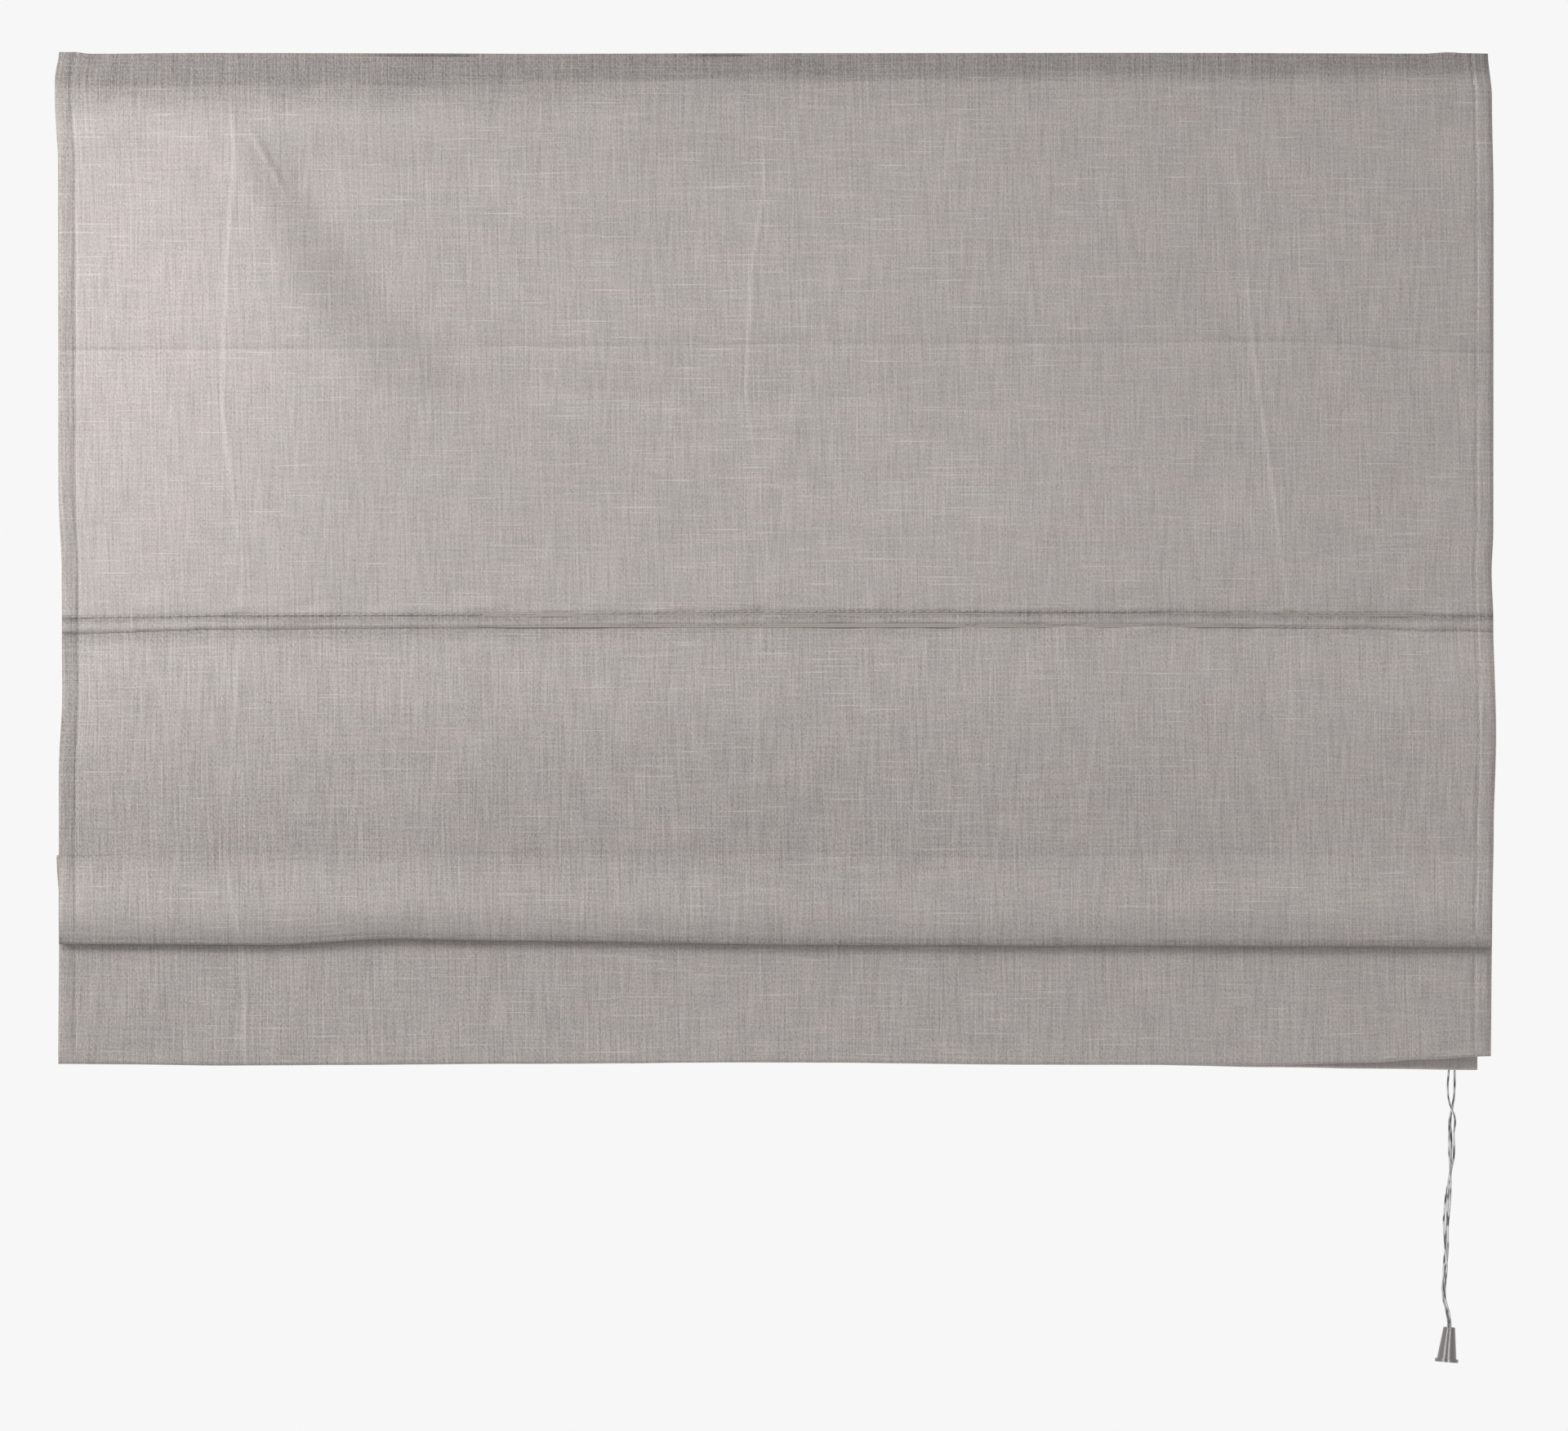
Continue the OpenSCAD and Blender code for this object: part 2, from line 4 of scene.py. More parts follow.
import bpy
import numpy as np
from bpy.props import FloatProperty, FloatVectorProperty, IntProperty, PointerProperty
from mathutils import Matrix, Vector


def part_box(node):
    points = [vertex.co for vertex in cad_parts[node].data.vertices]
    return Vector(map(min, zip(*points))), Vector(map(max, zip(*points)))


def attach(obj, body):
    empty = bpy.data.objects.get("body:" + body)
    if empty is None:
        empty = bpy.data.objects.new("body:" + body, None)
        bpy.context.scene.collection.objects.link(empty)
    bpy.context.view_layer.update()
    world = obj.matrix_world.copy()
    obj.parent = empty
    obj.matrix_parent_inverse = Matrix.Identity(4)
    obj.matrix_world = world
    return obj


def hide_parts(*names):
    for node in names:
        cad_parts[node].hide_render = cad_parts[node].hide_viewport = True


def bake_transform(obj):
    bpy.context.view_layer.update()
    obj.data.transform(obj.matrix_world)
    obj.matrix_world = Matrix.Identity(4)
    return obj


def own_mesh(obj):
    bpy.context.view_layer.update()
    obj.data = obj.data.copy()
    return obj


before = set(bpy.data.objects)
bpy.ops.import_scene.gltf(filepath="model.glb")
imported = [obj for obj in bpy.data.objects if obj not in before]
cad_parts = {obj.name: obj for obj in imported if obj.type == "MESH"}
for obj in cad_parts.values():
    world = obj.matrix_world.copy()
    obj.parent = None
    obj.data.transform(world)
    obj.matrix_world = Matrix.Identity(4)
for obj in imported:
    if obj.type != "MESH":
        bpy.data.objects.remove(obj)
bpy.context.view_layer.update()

bl_info = {
    "name": "Roman blind",
    "version": (1, 0, 0),
    "blender": (4, 5, 0),
    "location": "View3D > Sidebar > Roman blind",
    "description": "Dresses a corded roman blind: folded linen, cords, stitches and metal fittings",
    "category": "Add Mesh",
}

MM = 0.001
RODS = ("upper", "middle", "lower")


def linear(hex_colour):
    """Linear red, green and blue of an sRGB hex colour."""
    parts = [int(hex_colour[i:i + 2], 16) / 255 for i in (1, 3, 5)]
    return tuple(c / 12.92 if c <= 0.04045 else ((c + 0.055) / 1.055) ** 2.4 for c in parts)


def length_property(name, description, millimetres):
    return FloatProperty(name=name, description=description, default=millimetres * MM, min=0, unit="LENGTH")


def number_property(name, description, value, unit="NONE", **limits):
    return FloatProperty(name=name, description=description, default=value, unit=unit, **limits)


def colour_property(name, description, hex_colour):
    return FloatVectorProperty(
        name=name, description=description, default=linear(hex_colour), subtype="COLOR", min=0, max=1)


class BlindSizes(bpy.types.PropertyGroup):
    """Sizes of the soft pieces"""
    cloth_thickness: length_property("Cloth thickness", "Thickness of one layer of cloth", 0.8)
    side_hem: length_property("Side hem", "Width of the doubled hem down each side", 14)
    front_gap: length_property("Front fold gap", "Spacing of the two legs of the front fold", 6)
    rear_gap: length_property("Rear fold gap", "Spacing of the two legs of the rear fold", 5.4)
    fold_space: length_property("Fold space", "Free depth between the front and the rear fold", 2)
    rod_pitch: length_property("Rod pitch", "Length of cloth between two rods", 470)
    bottom_hem: length_property("Bottom hem", "Height of the turned hem at the bottom edge", 38)
    cord_diameter: length_property("Cord diameter", "Thickness of the lift cords and pull cords", 1.8)
    stitch_pitch: length_property("Stitch pitch", "Distance from stitch to stitch", 7.4)
    stitch_length: length_property("Stitch length", "Length of thread that shows in a stitch", 5.2)
    thread_diameter: length_property("Thread diameter", "Thickness of the sewing thread", 0.55)


class BlindColours(bpy.types.PropertyGroup):
    """Colours of the finishes"""
    linen_grey: colour_property("Linen grey", "Cooler tone of the mottled linen", "#B0AAA7")
    linen_rose: colour_property("Linen rose", "Warmer tone of the mottled linen", "#B3ABA8")
    slub: colour_property("Slub", "Thick pale threads in the weave", "#D6D1CC")
    thread: colour_property("Sewing thread", "Thread of the seams", "#BEB8B3")
    cord: colour_property("Cord", "Braided cord", "#DEDCDC")
    # Painted shade in the braid where it twists
    cord_shade: colour_property("Cord shade", "Flecks where the braid twists", "#5A5A64")
    nickel: colour_property("Nickel", "Satin nickel of the tassel", "#B5B2AF")
    pine: colour_property("Pine", "Early wood of the batten", "#DDBE90")
    pine_grain: colour_property("Pine grain", "Late wood of the batten", "#B98E5A")
    backdrop: colour_property("Backdrop", "Backdrop behind the blind", "#F7F7F7")


class StageSettings(bpy.types.PropertyGroup):
    """Camera and lamps"""
    lens: number_property("Lens", "Focal length in millimetres", 800, min=20)
    view_width: length_property("View width", "Width of the picture at the cloth", 1313)
    view_x: number_property("View X", "Centre of the picture", 6.8 * MM, "LENGTH")
    view_z: number_property("View Z", "Centre of the picture", -554 * MM, "LENGTH")
    key_power: number_property("Key power", "Power of the near lamp", 3.8, "POWER")
    side_power: number_property("Side power", "Power of the far lamp", 770, "POWER")
    back_power: number_property("Back power", "Power of the lamp behind", 60, "POWER")
    fill: number_property("Fill", "Strength of the even light all round", 0.482, min=0)
    floor_drop: length_property("Floor drop", "Height of the batten's top above the floor", 1900)
    floor_radius: length_property("Floor radius", "Radius of the floor", 2600)
    seed: IntProperty(name="Seed", description="Seed of the cloth's slack", default=11)


def add(tree, kind, inputs=None, **settings):
    """Adds a node with its settings; an input is a value, or a socket to link from."""
    node = tree.nodes.new(kind)
    for name, value in settings.items():
        setattr(node, name, value)
    for key, value in (inputs or {}).items():
        if isinstance(value, bpy.types.NodeSocket):
            tree.links.new(value, node.inputs[key])
        else:
            node.inputs[key].default_value = value
    return node


def rgba(colour):
    """Colour with full opacity."""
    return (*colour, 1)


def new_material(name, **shader):
    """Material with a Principled shader whose constant sockets are set."""
    material = bpy.data.materials.new(name)
    material.use_nodes = True
    tree = material.node_tree
    principled = tree.nodes["Principled BSDF"]
    for socket, value in shader.items():
        principled.inputs[socket.replace("_", " ")].default_value = value
    return material, tree, principled


def scaled(tree, vector, pitch, turn=0):
    """Coordinates in steps of the given pitch, which is in millimetres for each axis, then turned."""
    steps = tuple(1 / (p * MM) for p in pitch)
    return add(tree, "ShaderNodeMapping", {
        "Vector": vector, "Scale": steps, "Rotation": (0, 0, turn)}).outputs["Vector"]


def total(tree, first, second):
    return add(tree, "ShaderNodeMath", {0: first, 1: second}, operation="ADD").outputs[0]


def swing(tree, source, size, middle=0.5):
    """Signed share of a value about its middle."""
    centred = add(tree, "ShaderNodeMath", {0: source, 1: middle}, operation="SUBTRACT").outputs[0]
    return add(tree, "ShaderNodeMath", {0: centred, 1: size}, operation="MULTIPLY").outputs[0]


def level(tree, rest, source, size, middle=0.5):
    """Level that rests at a number and swings with a value about that value's middle."""
    return total(tree, swing(tree, source, size, middle), rest)


def ramped(tree, value, low, high, top=1):
    """Share from 0 to the top as a value goes from low to high, held at both ends."""
    return add(tree, "ShaderNodeMapRange", {
        "Value": value, "From Min": low, "From Max": high, "To Max": top}).outputs["Result"]


def blended(tree, share, first, second):
    """Colour that goes from the first to the second with the share."""
    return add(tree, "ShaderNodeMix", {0: share, 6: first, 7: second}, data_type="RGBA").outputs[2]


def shaded(tree, colour, shade):
    """Colour times a shade, which is 1 where the colour stays as it is."""
    return add(tree, "ShaderNodeVectorMath", {0: colour, "Scale": shade}, operation="SCALE").outputs[0]


def noise(tree, space, pitch, detail=2, turn=0, roughness=0.5, distortion=0):
    """Noise with its pitch along each axis in millimetres."""
    return add(tree, "ShaderNodeTexNoise", {
        "Vector": scaled(tree, space, pitch, turn), "Scale": 1, "Detail": detail, "Roughness": roughness,
        "Distortion": distortion}).outputs["Fac"]


def bands(tree, space, unit_size, direction, distortion, detail=2):
    """Even bands, 0.31 of a unit apart, or 0.63 along an axis for slanted ones. The unit is in mm."""
    return add(tree, "ShaderNodeTexWave", {
        "Vector": scaled(tree, space, (unit_size,) * 3), "Scale": 1, "Distortion": distortion,
        "Detail": detail}, bands_direction=direction).outputs["Fac"]


def emboss(tree, shader, height, strength, depth):
    """Bumps the surface by a height, to a depth in millimetres."""
    bump = add(tree, "ShaderNodeBump", {"Height": height, "Strength": strength, "Distance": depth * MM})
    tree.links.new(bump.outputs["Normal"], shader.inputs["Normal"])


def object_space(tree):
    """Place in the shared frame, in metres."""
    return add(tree, "ShaderNodeTexCoord").outputs["Object"]


def surface_value(tree, name):
    """Value that the mesh carries at its points under that name."""
    return add(tree, "ShaderNodeAttribute", attribute_name=name).outputs["Fac"]


def weave_noise(tree, flat, pitch, detail=2):
    """Noise stretched along the threads, with its pitch across and down the cloth in millimetres."""
    # Turned, because cells that line up in rows and columns would show as blocks
    return noise(tree, flat, (*pitch, 1), detail, turn=0.6, roughness=0.6)


def linen():
    """Washed linen in plain weave: uneven threads, pale slubs, a dull surface with a faint sheen."""
    colours = bpy.context.scene.blind_colours
    material, tree, shader = new_material(
        "washed_linen", Roughness=0.9, Sheen_Weight=0.08, Sheen_Roughness=0.6, Specular_IOR_Level=0.2)
    flat = add(tree, "ShaderNodeUVMap", uv_map="cut").outputs["UV"]
    # Threads are half a millimetre apart, and are drawn about twice as coarse so that they show
    warp = weave_noise(tree, flat, (1.2, 48))
    weft = weave_noise(tree, flat, (52, 1.2))
    grain = weave_noise(tree, flat, (1.3, 2.2))
    blotch = weave_noise(tree, flat, (48, 24))
    slubs = weave_noise(tree, flat, (46, 1.2), detail=0)
    rose_share = ramped(tree, blotch, 0.38, 0.64)
    tone = blended(tree, rose_share, rgba(colours.linen_grey), rgba(colours.linen_rose))
    threads = total(tree, swing(tree, warp, 0.8), swing(tree, weft, 0.36))
    weave = total(tree, threads, swing(tree, grain, 0.88))
    # Painted shade: doubled cloth lets less light through, and seams, slots and folds shade it, so it is
    # coloured darker and its weave shows more; rubbed cloth is paler, and the bottom edge has painted light
    layers = surface_value(tree, "layers")
    contrast = level(tree, 1, layers, 0.3, 0)
    lightened = swing(tree, surface_value(tree, "rubbed"), 0.17, 0)
    shade = total(tree, level(tree, 1, weave, contrast, 0), lightened)
    slub_share = ramped(tree, slubs, 0.67, 0.84, 0.55)
    slubbed = blended(tree, slub_share, shaded(tree, tone, shade), rgba(colours.slub))
    colour = shaded(tree, slubbed, level(tree, 1, layers, -0.17, 0))
    tree.links.new(colour, shader.inputs["Base Color"])
    emboss(tree, shader, total(tree, total(tree, warp, weft), grain), 0.35, 0.4)
    return material


def braided_cord(name, painted_shade_strength):
    """Braided polyester cord: slanted plaits, silky, with painted shade in dark flecks where it twists."""
    colours = bpy.context.scene.blind_colours
    material, tree, shader = new_material(name, Metallic=0.15, Roughness=0.35, Specular_IOR_Level=0.5)
    along = add(tree, "ShaderNodeUVMap", uv_map="cord").outputs["UV"]
    # Painted shade in dark flecks where the strands twist
    dark = ramped(tree, noise(tree, along, (2.2, 13, 1), detail=1), 0.46, 0.6, painted_shade_strength)
    tone = blended(tree, dark, rgba(colours.cord), rgba(colours.cord_shade))
    # Plaits of a millimetre, drawn at about nine along the cord so that they show
    plait = bands(tree, along, 14, "DIAGONAL", distortion=1.5, detail=1)
    tree.links.new(shaded(tree, tone, level(tree, 1, plait, 0.12)), shader.inputs["Base Color"])
    emboss(tree, shader, plait, 0.35, 0.2)
    return material


def sewing_thread():
    """Twisted cotton thread: paler than the cloth, matt, with a fine twist."""
    colours = bpy.context.scene.blind_colours
    material, tree, shader = new_material("cotton_thread", Roughness=0.8, Specular_IOR_Level=0.25)
    twist = noise(tree, object_space(tree), (0.9, 0.9, 0.9))
    colour = shaded(tree, colours.thread, level(tree, 1, twist, 0.4))
    tree.links.new(colour, shader.inputs["Base Color"])
    return material


def mottled(name, hex_colour, pitch, amount, metallic, roughness):
    """Finish with a fine grain in its colour, roughness and surface, on the given pitch in millimetres."""
    material, tree, shader = new_material(name, Metallic=metallic)
    grain = noise(tree, object_space(tree), pitch, detail=4)
    colour = shaded(tree, linear(hex_colour), level(tree, 1, grain, amount))
    tree.links.new(colour, shader.inputs["Base Color"])
    tree.links.new(level(tree, roughness, grain, 0.12), shader.inputs["Roughness"])
    emboss(tree, shader, grain, 0.4, 0.05)
    return material


def planed_pine():
    """Planed pine: long grain along the batten, pale early wood and darker late wood."""
    colours = bpy.context.scene.blind_colours
    material, tree, shader = new_material("planed_pine", Roughness=0.6)
    grain = noise(tree, object_space(tree), (260, 7, 7), detail=4, distortion=0.6)
    late = ramped(tree, grain, 0.42, 0.64)
    colour = blended(tree, late, rgba(colours.pine), rgba(colours.pine_grain))
    tree.links.new(colour, shader.inputs["Base Color"])
    emboss(tree, shader, grain, 0.3, 0.2)
    return material


def woven_tape(name, hex_colour):
    """Narrow woven tape: fine crossed threads, matt."""
    material, tree, shader = new_material(name, Roughness=0.85, Specular_IOR_Level=0.25)
    space = object_space(tree)
    # Threads of half a millimetre, drawn at about two so that they show
    across, upright = (bands(tree, space, 6, direction, distortion=0.4) for direction in ("X", "Z"))
    threads = total(tree, swing(tree, across, 0.16), swing(tree, upright, 0.16))
    colour = shaded(tree, linear(hex_colour), total(tree, threads, 1))
    tree.links.new(colour, shader.inputs["Base Color"])
    emboss(tree, shader, threads, 0.5, 0.3)
    return material


def satin_nickel():
    """Turned brass with a satin nickel plate: fine rings from the brush, a soft dark gleam."""
    colours = bpy.context.scene.blind_colours
    material, tree, shader = new_material("satin_nickel", Metallic=1)
    brush = noise(tree, object_space(tree), (9, 9, 1.2), detail=1)
    colour = shaded(tree, colours.nickel, level(tree, 1, brush, 0.06))
    tree.links.new(colour, shader.inputs["Base Color"])
    tree.links.new(level(tree, 0.3, brush, 0.02), shader.inputs["Roughness"])
    return material


def shared(maker, *values):
    """Material of that maker, made once."""
    key = "/".join([maker.__name__, *map(str, values)])
    for material in bpy.data.materials:
        if material.get("made_by") == key:
            return material
    material = maker(*values)
    material["made_by"] = key
    return material


def new_piece(name, points, faces, material, uv_name=None, uv=None, normals=None, **values):
    """Mesh object at the origin from points in millimetres, with values as point attributes."""
    mesh = bpy.data.meshes.new(name)
    mesh.from_pydata((np.asarray(points) * MM).tolist(), [], faces)
    mesh.shade_smooth()
    if uv is not None:
        layer = mesh.uv_layers.new(name=uv_name)
        corners = np.zeros(len(mesh.loops), np.int32)
        mesh.loops.foreach_get("vertex_index", corners)
        layer.data.foreach_set("uv", np.asarray(uv, np.float32)[corners].ravel())
    for key, value in values.items():
        value = np.asarray(value, np.float32)
        kind, field = ("FLOAT_VECTOR", "vector") if value.ndim == 2 else ("FLOAT", "value")
        mesh.attributes.new(key, kind, "POINT").data.foreach_set(field, value.ravel())
    if normals is not None:
        mesh.normals_split_custom_set_from_vertices(np.asarray(normals).tolist())
    mesh.materials.append(material)
    piece = bpy.data.objects.new(name, mesh)
    bpy.context.scene.collection.objects.link(piece)
    return piece


# Routes of the pull cords, from the lock to the knot in the tassel, as the solids have them
PULL_ROUTES = {
    "left": [
        (567, 9.4, -44), (567, 9.4, -120), (567, 9.5, -300), (565.8, 9.6, -700), (564.2, 10, -851),
        (563.2, 10, -866), (563.8, 9.6, -875), (566, 9.2, -883), (568.6, 9.6, -889), (569.4, 10, -895),
        (568.2, 10.8, -904), (568.6, 11.4, -914), (568.2, 11.3, -925), (566, 11.4, -936),
        (564.2, 11.4, -948), (563.4, 11.6, -960), (562.2, 12.4, -985), (561.1, 12.4, -1000),
        (559.9, 10.7, -1018), (559.3, 9.9, -1030), (561, 10.1, -1042), (564.2, 11, -1055),
        (565.5, 10.6, -1064), (565.3, 10.6, -1069.5),
    ],
    "right": [
        (567, 11.5, -44), (567, 11.5, -120), (567.4, 11.5, -300), (568.4, 11.5, -700), (569, 11.2, -851),
        (569, 11.1, -866), (568.2, 11.3, -875), (566.4, 11.5, -883), (565, 11.4, -889), (564.6, 11, -895),
        (564.4, 10.6, -904), (564.2, 10.2, -914), (564.6, 9.8, -925), (565.4, 9.2, -936),
        (565.6, 9.2, -948), (565.2, 9.6, -960), (563.2, 9.8, -985), (563.4, 11.7, -1000),
        (561.5, 12.6, -1018), (558.9, 12.3, -1030), (559.1, 11.2, -1042), (562.2, 10.2, -1055),
        (563.5, 10.6, -1064), (563.3, 10.6, -1069.5),
    ],
    "middle": [
        (567, 13.6, -44), (567, 13.6, -120), (567.4, 13.6, -300), (568.4, 13.6, -700), (569, 13.4, -851),
        (569, 13.3, -866), (568.4, 13.5, -875), (567.2, 13.8, -883), (566, 13.6, -889), (565.6, 13.2, -895),
        (566, 12.8, -904), (566.4, 12.4, -914), (566, 12.8, -925), (565.5, 13.5, -936),
        (563, 13.4, -948), (561.4, 12.4, -960), (559.8, 11.2, -985), (561.2, 9.9, -1000),
        (562.3, 10.3, -1018), (561.2, 11.4, -1030), (561, 12.3, -1042), (562.6, 12.4, -1055),
        (564.5, 12.4, -1064), (564.3, 12.4, -1069.5),
    ],
}

# Lift cords: the bend over the screw eye and the run along the batten into the lock
EYE_BEND = [(0, 7.4, -41.1), (0.7, 7.4, -39.4), (2.4, 7.4, -38.7)]
LIFT_LINES = {"left": -440, "middle": 0, "right": 440}
LIFT_FOOT, LIFT_MIDDLE = -678, -300
LIFT_RUNS = {
    "left": [
        (-430, 7.3, -38.2), (-40, 5.4, -38), (0, 5.3, -38), (440, 5.3, -38), (480, 5.7, -38),
        (540, 9.2, -38), (563.7, 9.4, -38), (566.1, 9.4, -38.9), (567, 9.4, -41.3), (567, 9.4, -44),
    ],
    "middle": [
        (10, 7.5, -38.2), (400, 9.4, -38), (440, 9.5, -38), (480, 9.9, -38),
        (540, 13.4, -38), (563.7, 13.6, -38), (566.1, 13.6, -38.9), (567, 13.6, -41.3), (567, 13.6, -44),
    ],
    "right": [
        (450, 7.4, -38.2), (480, 7.8, -38),
        (540, 11.3, -38), (563.7, 11.5, -38), (566.1, 11.5, -38.9), (567, 11.5, -41.3), (567, 11.5, -44),
    ],
}

# Spacing of the rings of a pull cord, of a lift cord's drop and of its run
PULL_STEP, DROP_STEP, RUN_STEP = 3, 6, 2.5
# Where the painted shade of each pull cord starts along its braid, so that it doesn't line up across the
# strands
PAINTED_SHADE_STARTS = {"left": 0, "right": 1700, "middle": 3900}
# Strength of the painted shade in the braid: strong where the strands twist, faint where a cord hangs
# straight
TWISTED_CORD_SHADE, STRAIGHT_CORD_SHADE = 1, 0.25


def unit(vectors):
    """Vectors of the same directions, 1 long."""
    return vectors / np.linalg.norm(vectors, axis=-1, keepdims=True)


def lengths_along(points):
    """Length of a line of points up to each of them."""
    return np.concatenate([[0], np.cumsum(np.linalg.norm(np.diff(points, axis=0), axis=1))])


def smooth_route(route, step):
    """Points every few millimetres along a smooth curve through a route."""
    knots = np.array(route, float)
    at = lengths_along(knots)
    slopes = np.gradient(knots, at, axis=0)
    places = np.linspace(0, at[-1], max(2, round(at[-1] / step)) + 1)
    i = np.clip(np.searchsorted(at, places, "right") - 1, 0, len(at) - 2)
    span = (at[i + 1] - at[i])[:, None]
    t = (places - at[i])[:, None] / span
    return (
        (2 * t**3 - 3 * t**2 + 1) * knots[i] + (t**3 - 2 * t**2 + t) * span * slopes[i]
        + (3 * t**2 - 2 * t**3) * knots[i + 1] + (t**3 - t**2) * span * slopes[i + 1])


def cord_piece(name, line, radius, material, sides=10, phase=0):
    """Closed round tube along a line, with a UV map of the way round and along the cord from its phase."""
    heading = unit(np.gradient(line, axis=0))
    side = np.zeros_like(line)
    reference = np.array([0, 1, 0.0])
    for k, direction in enumerate(heading):
        reference = unit(reference - direction * (reference @ direction))
        side[k] = reference
    other = np.cross(heading, side)
    angles = np.arange(sides) * 2 * math.pi / sides
    rings = line[:, None] + radius * (
        np.cos(angles)[None, :, None] * side[:, None] + np.sin(angles)[None, :, None] * other[:, None])
    count = len(line)
    faces = [
        (r * sides + k, r * sides + (k + 1) % sides, (r + 1) * sides + (k + 1) % sides, (r + 1) * sides + k)
        for r in range(count - 1) for k in range(sides)]
    faces.append(tuple(range(sides - 1, -1, -1)))
    faces.append(tuple((count - 1) * sides + k for k in range(sides)))
    around = np.minimum(np.arange(sides), sides - np.arange(sides)) * 2 * math.pi * radius / sides
    along = lengths_along(line) + phase
    uv = np.stack(np.broadcast_arrays(around[None, :], along[:, None]), axis=-1).reshape(-1, 2) * MM
    return new_piece(name, rings.reshape(-1, 3), faces, material, "cord", uv)


def make_pull_cords():
    """Three strands from the lock to the tassel."""
    sizes = bpy.context.scene.blind_sizes
    radius = sizes.cord_diameter / MM / 2
    material = shared(braided_cord, "twisted_polyester", TWISTED_CORD_SHADE)
    for side, route in PULL_ROUTES.items():
        line = smooth_route(route, PULL_STEP)
        name = "pull_cord_" + side + "_braid"
        cord = cord_piece(name, line, radius, material, phase=PAINTED_SHADE_STARTS[side])
        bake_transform(cord)
        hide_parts("pull_cord_" + side)


def make_lift_cords():
    """Each cord in two pieces: the drop through the rings and the run along the batten."""
    sizes = bpy.context.scene.blind_sizes
    radius = sizes.cord_diameter / MM / 2
    material = shared(braided_cord, "straight_polyester", STRAIGHT_CORD_SHADE)
    for side, x in LIFT_LINES.items():
        bend = [(x + dx, y, z) for dx, y, z in EYE_BEND]
        eye = bend[0]
        drop_route = [(x, eye[1], LIFT_FOOT), (x, eye[1], LIFT_MIDDLE), eye]
        drop = cord_piece("lift_cord_drop_" + side, smooth_route(drop_route, DROP_STEP), radius, material)
        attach(drop, "root")
        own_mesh(drop)
        run_line = smooth_route(bend + LIFT_RUNS[side], RUN_STEP)
        run = cord_piece("lift_cord_run_" + side, run_line, radius, material, sides=8)
        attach(run, "root")
        for piece in (drop, run):
            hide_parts("lift_cord_" + side)


def middle_of(node):
    """Middle of a node's box, in millimetres."""
    low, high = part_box(node)
    return (low + high) / 2 / MM


def bell(distance, width):
    """Smooth hump: 1 at no distance, near 0 past twice the width."""
    return np.exp(-(distance / width) ** 2)


def cusp(distance, width):
    """Sharp crease: 1 at no distance, falling off evenly to both sides."""
    return np.exp(-np.abs(distance) / width)


def ease(value, low, high):
    """Smooth step from 0 at low to 1 at high."""
    t = np.clip((value - low) / (high - low), 0, 1)
    return t * t * (3 - 2 * t)


def through(value, points):
    """Line through listed points, eased from each to the next."""
    places, levels = (np.array(p, float) for p in zip(*points))
    value = np.clip(value, places[0], places[-1])
    i = np.clip(np.searchsorted(places, value, "right") - 1, 0, len(places) - 2)
    share = ease((value - places[i]) / (places[i + 1] - places[i]), 0, 1)
    return levels[i] + (levels[i + 1] - levels[i]) * share


def soft_noise(x, z, pitch, seed):
    """Seeded smooth noise from -1 to 1, with humps about one pitch across."""
    cells = 64
    lattice = np.random.RandomState(seed).uniform(-1, 1, (cells, cells))
    # Turned by about 30 degrees, so that no row of humps runs level
    u = (0.87 * x + 0.5 * z) / pitch
    v = (0.87 * z - 0.5 * x) / pitch
    i, j = np.floor(u).astype(int), np.floor(v).astype(int)
    p, q = ease(u - i, 0, 1), ease(v - j, 0, 1)
    near = lattice[i % cells, j % cells] * (1 - p) + lattice[(i + 1) % cells, j % cells] * p
    far = lattice[i % cells, (j + 1) % cells] * (1 - p) + lattice[(i + 1) % cells, (j + 1) % cells] * p
    return near * (1 - q) + far * q


def ridge(x, z, start, end, width, fade_in, fade_out):
    """Ridge along a straight line, 1 high, that fades in and out between these shares of the line."""
    start, end = np.array(start, float), np.array(end, float)
    way = end - start
    share = ((x - start[0]) * way[0] + (z - start[1]) * way[1]) / (way @ way)
    away = ((x - start[0]) * way[1] - (z - start[1]) * way[0]) / np.linalg.norm(way)
    return bell(away, width) * ease(share, *fade_in) * (1 - ease(share, *fade_out))


def rounded_path(corners, arc_step=math.radians(10)):
    """Points along a path whose inner corners are rounded, and the index of each corner's middle."""
    path = [np.array(corners[0][:2], float)]
    middles = [0]
    for before, corner, after in zip(corners, corners[1:], corners[2:]):
        tip = np.array(corner[:2], float)
        u, v = unit(tip - np.array(before[:2])), unit(np.array(after[:2]) - tip)
        angle = math.atan2(u[0] * v[1] - u[1] * v[0], u @ v)
        inward = math.copysign(1, angle) * np.array([-u[1], u[0]])
        steps = max(4, math.ceil(abs(angle) / arc_step))
        centre = tip - u * corner[2] * math.tan(abs(angle) / 2) + inward * corner[2]
        middles.append(len(path) + steps // 2)
        for k in range(steps + 1):
            c, s = math.cos(angle * k / steps), math.sin(angle * k / steps)
            arm = -inward * corner[2]
            path.append(centre + np.array([arm[0] * c - arm[1] * s, arm[0] * s + arm[1] * c]))
    path.append(np.array(corners[-1][:2], float))
    middles.append(len(path) - 1)
    return np.array(path), middles


# How the cloth of the photo hangs, in millimetres. Each table lists places and the level at each of them

# Free space between a rod and the cloth round it, beside a pocket tape, and the radius over a rod
ROD_ROOM, POCKET_ROOM, CREST_RADIUS = 0.3, 1, 1.2
# A fold's two corners have nearly half of its gap each as their radius
TURN_SHARE = 0.49
# Heights where one piece of the cloth ends and the next starts
HEAD_FOOT, SEAM_HEAD, SEAM_FOOT, GATHER_FOOT = -29, -464, -492, -661
# Heights of the two creases from packing
UPPER_CREASE, LOWER_CREASE = -246, -671
